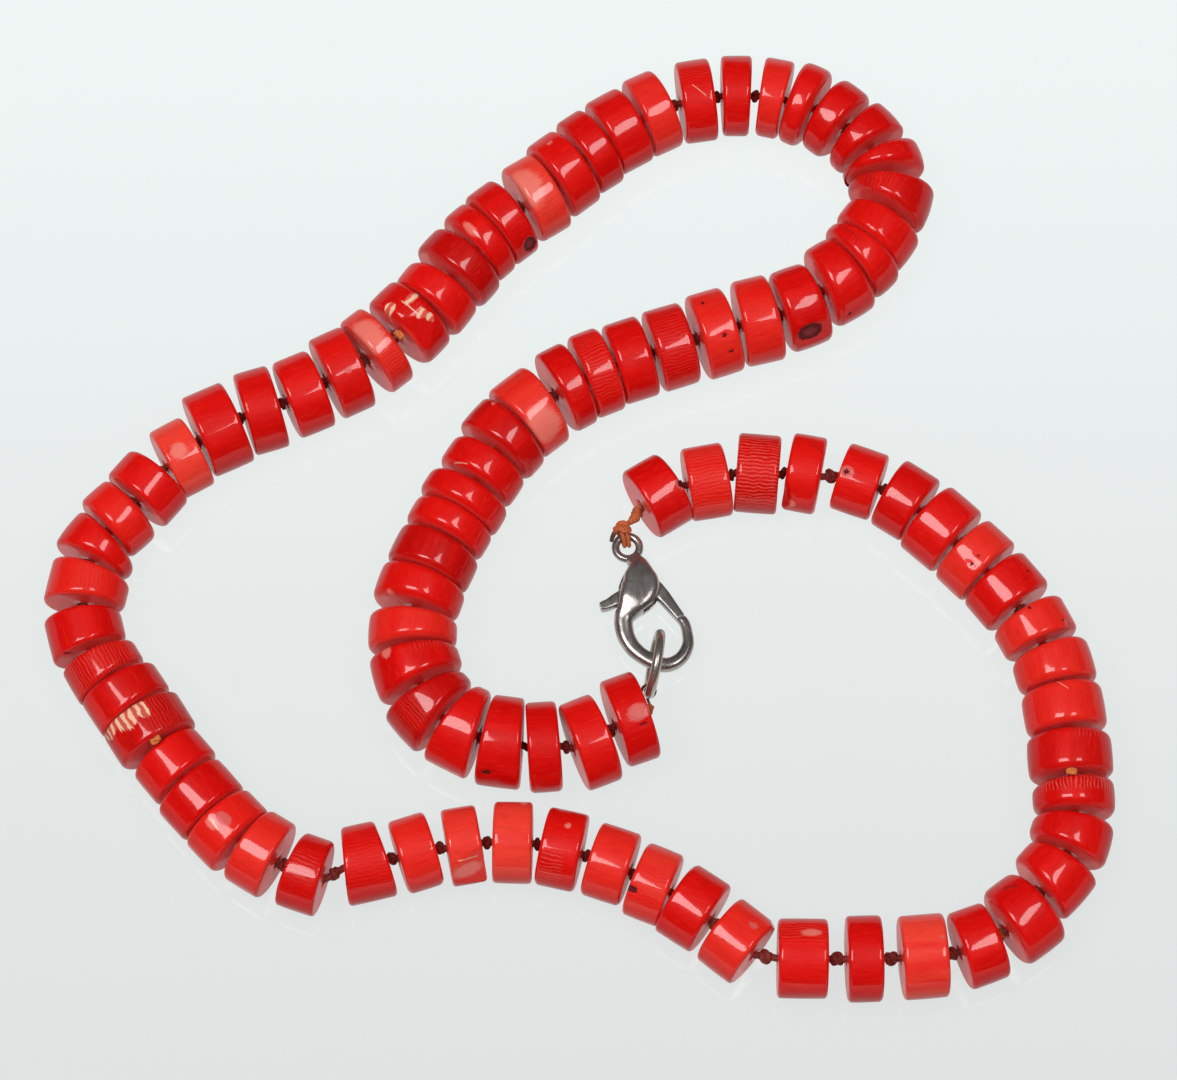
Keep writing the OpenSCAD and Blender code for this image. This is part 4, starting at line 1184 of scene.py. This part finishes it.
def nickelGroup():
    # cloudy tarnish, fine scuffs and small pits on cast metal
    tree, given, out = newGroup("tumbled casting", [("Bright", "Color", None), ("Tarnish", "Color", None),
                                                    ("Amount", "Float", 0.5)],
                                [("Color", "Color"), ("Roughness", "Float"), ("Height", "Float")])
    place = addNode(tree, "TexCoord").outputs["Object"]
    cloud = noise(tree, place, nickel["cloudScale"], 4.0)
    grit = noise(tree, place, nickel["gritScale"], 3.0)
    scuff = noise(tree, stretch(tree, place, (1.0, 0.15, 1.0)), nickel["scuffScale"])
    tarnish = times(tree, step(tree, cloud, 0.42, 0.65), given["Amount"])
    pits = step(tree, grit, 0.7, 0.78)
    color = blendColor(tree, tarnish, given["Bright"], given["Tarnish"])
    color = blendColor(tree, times(tree, pits, nickel["pitTint"]), color, given["Tarnish"])
    tree.links.new(color, out["Color"])
    rough = plus(tree, times(tree, cloud, nickel["cloudRough"]), times(tree, scuff, nickel["scuffRough"]))
    tree.links.new(plus(tree, rough, nickel["roughness"]), out["Roughness"])
    height = plus(tree, times(tree, grit, nickel["gritHeight"]), times(tree, scuff, nickel["scuffHeight"]))
    tree.links.new(maths(tree, "SUBTRACT", height, pits), out["Height"])
    return tree


def nickelMaterial(name, group, look):
    material, tree, shader = newMaterial(name)
    made = useGroup(tree, group, Bright=(*look["color"], 1), Tarnish=(*nickel["dark"], 1),
                    Amount=look["tarnish"])
    tree.links.new(made["Color"], shader.inputs["Base Color"])
    tree.links.new(made["Roughness"], shader.inputs["Roughness"])
    bump = addNode(tree, "Bump", Height=made["Height"], Distance=nickel["relief"] * mm,
                   Strength=nickel["bump"])
    tree.links.new(bump.outputs[0], shader.inputs["Normal"])
    shader.inputs["Metallic"].default_value = nickel["metal"]
    return material


def makeClasp(group):
    casting = nickelMaterial("dark nickel casting", group, clasp)
    eye = ringGrid((0, 0, 0), clasp["eyeDiameter"] / 2, clasp["eyeWire"] / 2, *clasp["eyeSides"],
                   (1, 0, 0), (0, 1, 0))
    half = clasp["slotHeight"] / 2
    rivet = disc(clasp["pin"], clasp["rivetHole"], clasp["rivetFoot"], half + clasp["rivetHead"])
    rim = prism(clasp["backRim"], clasp["rimFoot"], -half - clasp["rimGap"])
    hook = barGrid(clasp["hook"], clasp["bodyCorners"], clasp["bodyRound"])
    body = castMetal("clasp_casting", [hook, eye, rim], [prism(clasp["slot"], -half, half), rivet])
    wear(body, casting, "necklace", "dark_nickel", "clasp_body")
    half = clasp["leverHeight"] / 2
    arms = [barGrid([(*row, clasp["leverHeight"]) for row in clasp[arm]], clasp["leverCorners"],
                    clasp["leverRound"]) for arm in ("gate", "thumb")]
    lever = castMetal("lever_casting", [*arms, disc(clasp["pin"], clasp["hub"], -half, half)],
                      [disc(clasp["pin"], clasp["pinBore"], -1, 1)])
    wear(lever, casting, "lever", "dark_nickel", "clasp_lever")
    pin = frame["nodes"]["clasp_pin"].data
    pin.materials.clear()
    pin.materials.append(casting)


def makeJumpRing(group):
    points, quads = ringGrid(boxMiddle("jump_ring"), jumpRing["radius"], jumpRing["wire"] / 2,
                             *jumpRing["sides"], *ringFrame())
    ring = smoothObject("jump_ring_wire", points, quads)
    wire = nickelMaterial("dark nickel wire", group, jumpRing)
    wear(ring, wire, "necklace", "dark_nickel", "jump_ring")


metal = nickelGroup()
makeClasp(metal)
makeJumpRing(metal)
print("clasp made")


# Floor and light

# each lamp: name, degrees from straight above to the right and towards the camera, distance, width and
# depth in metres, glow
studio = {
    "floorSize": 4.0, "near": (0.72, 0.745, 0.74), "far": (0.86, 0.925, 0.91), "mirror": 0.08,
    "floorBase": 0.05, "floorGlow": 0.94, "fade": 0.09, "bounce": 0.4,
    "world": (0.032, 0.033, 0.033),
    "boxes": [("right softbox", 19, 6, 1.0, 0.22, 0.44, 6.9),
              ("left softbox", -20.5, 7, 1.0, 0.46, 0.42, 7.8)],
    "fill": ("overhead fill", 0, 8, 1.1, 1.6, 1.6, 1.25),
}


def makeFloor():
    size = studio["floorSize"] / 2 / mm
    corners = np.array([(-size, -size, 0), (size, -size, 0), (size, size, 0), (-size, size, 0)], float)
    floor = smoothObject("floor", corners, np.array([[0, 1, 2, 3]]))
    floor.data.polygons.foreach_set("use_smooth", np.zeros(1, bool))
    material, tree, shader = newMaterial("lit white glass")
    place = addNode(tree, "SeparateXYZ", i0=addNode(tree, "TexCoord").outputs["Object"])
    back = step(tree, place.outputs[1], -studio["fade"], studio["fade"])
    glow = blendColor(tree, back, studio["near"], studio["far"])
    # soft light thrown up from the floor is held back, as the beads' undersides stay deep red
    held = times(tree, addNode(tree, "LightPath").outputs["Is Diffuse Ray"], 1.0 - studio["bounce"])
    tree.links.new(blendColor(tree, held, glow, (0.0, 0.0, 0.0)), shader.inputs["Emission Color"])
    shader.inputs["Emission Strength"].default_value = studio["floorGlow"]
    shader.inputs["Base Color"].default_value = (*[studio["floorBase"]] * 3, 1)
    shader.inputs["Roughness"].default_value = studio["mirror"]
    floor.data.materials.append(material)


def makeLights():
    for name, tilt, towards, distance, width, depth, glow in [*studio["boxes"], studio["fill"]]:
        data = bpy.data.lights.new(name, "AREA")
        data.shape, data.size, data.size_y = "RECTANGLE", width, depth
        data.energy = glow * width * depth * math.pi
        lamp = bpy.data.objects.new(name, data)
        scene.collection.objects.link(lamp)
        tilt, towards = math.radians(tilt), math.radians(towards)
        away = np.array([math.sin(tilt), -math.sin(towards) * math.cos(tilt),
                         math.cos(towards) * math.cos(tilt)])
        lamp.location = away * distance
        lamp.rotation_euler = (towards, tilt, 0)
        lamp.visible_glossy = name != studio["fill"][0]  # only the two softboxes show in the polish
    world = bpy.data.worlds.new("studio")
    world.use_nodes = True
    world.node_tree.nodes["Background"].inputs[0].default_value = (*studio["world"], 1)
    scene.world = world
    scene.view_settings.view_transform = "Standard"


makeFloor()
makeLights()
print("studio made")

print("triangles:", sum(len(p.data.loops) - 2 * len(p.data.polygons) for p in scene.objects
                        if p.type == "MESH" and p.visible_get()))
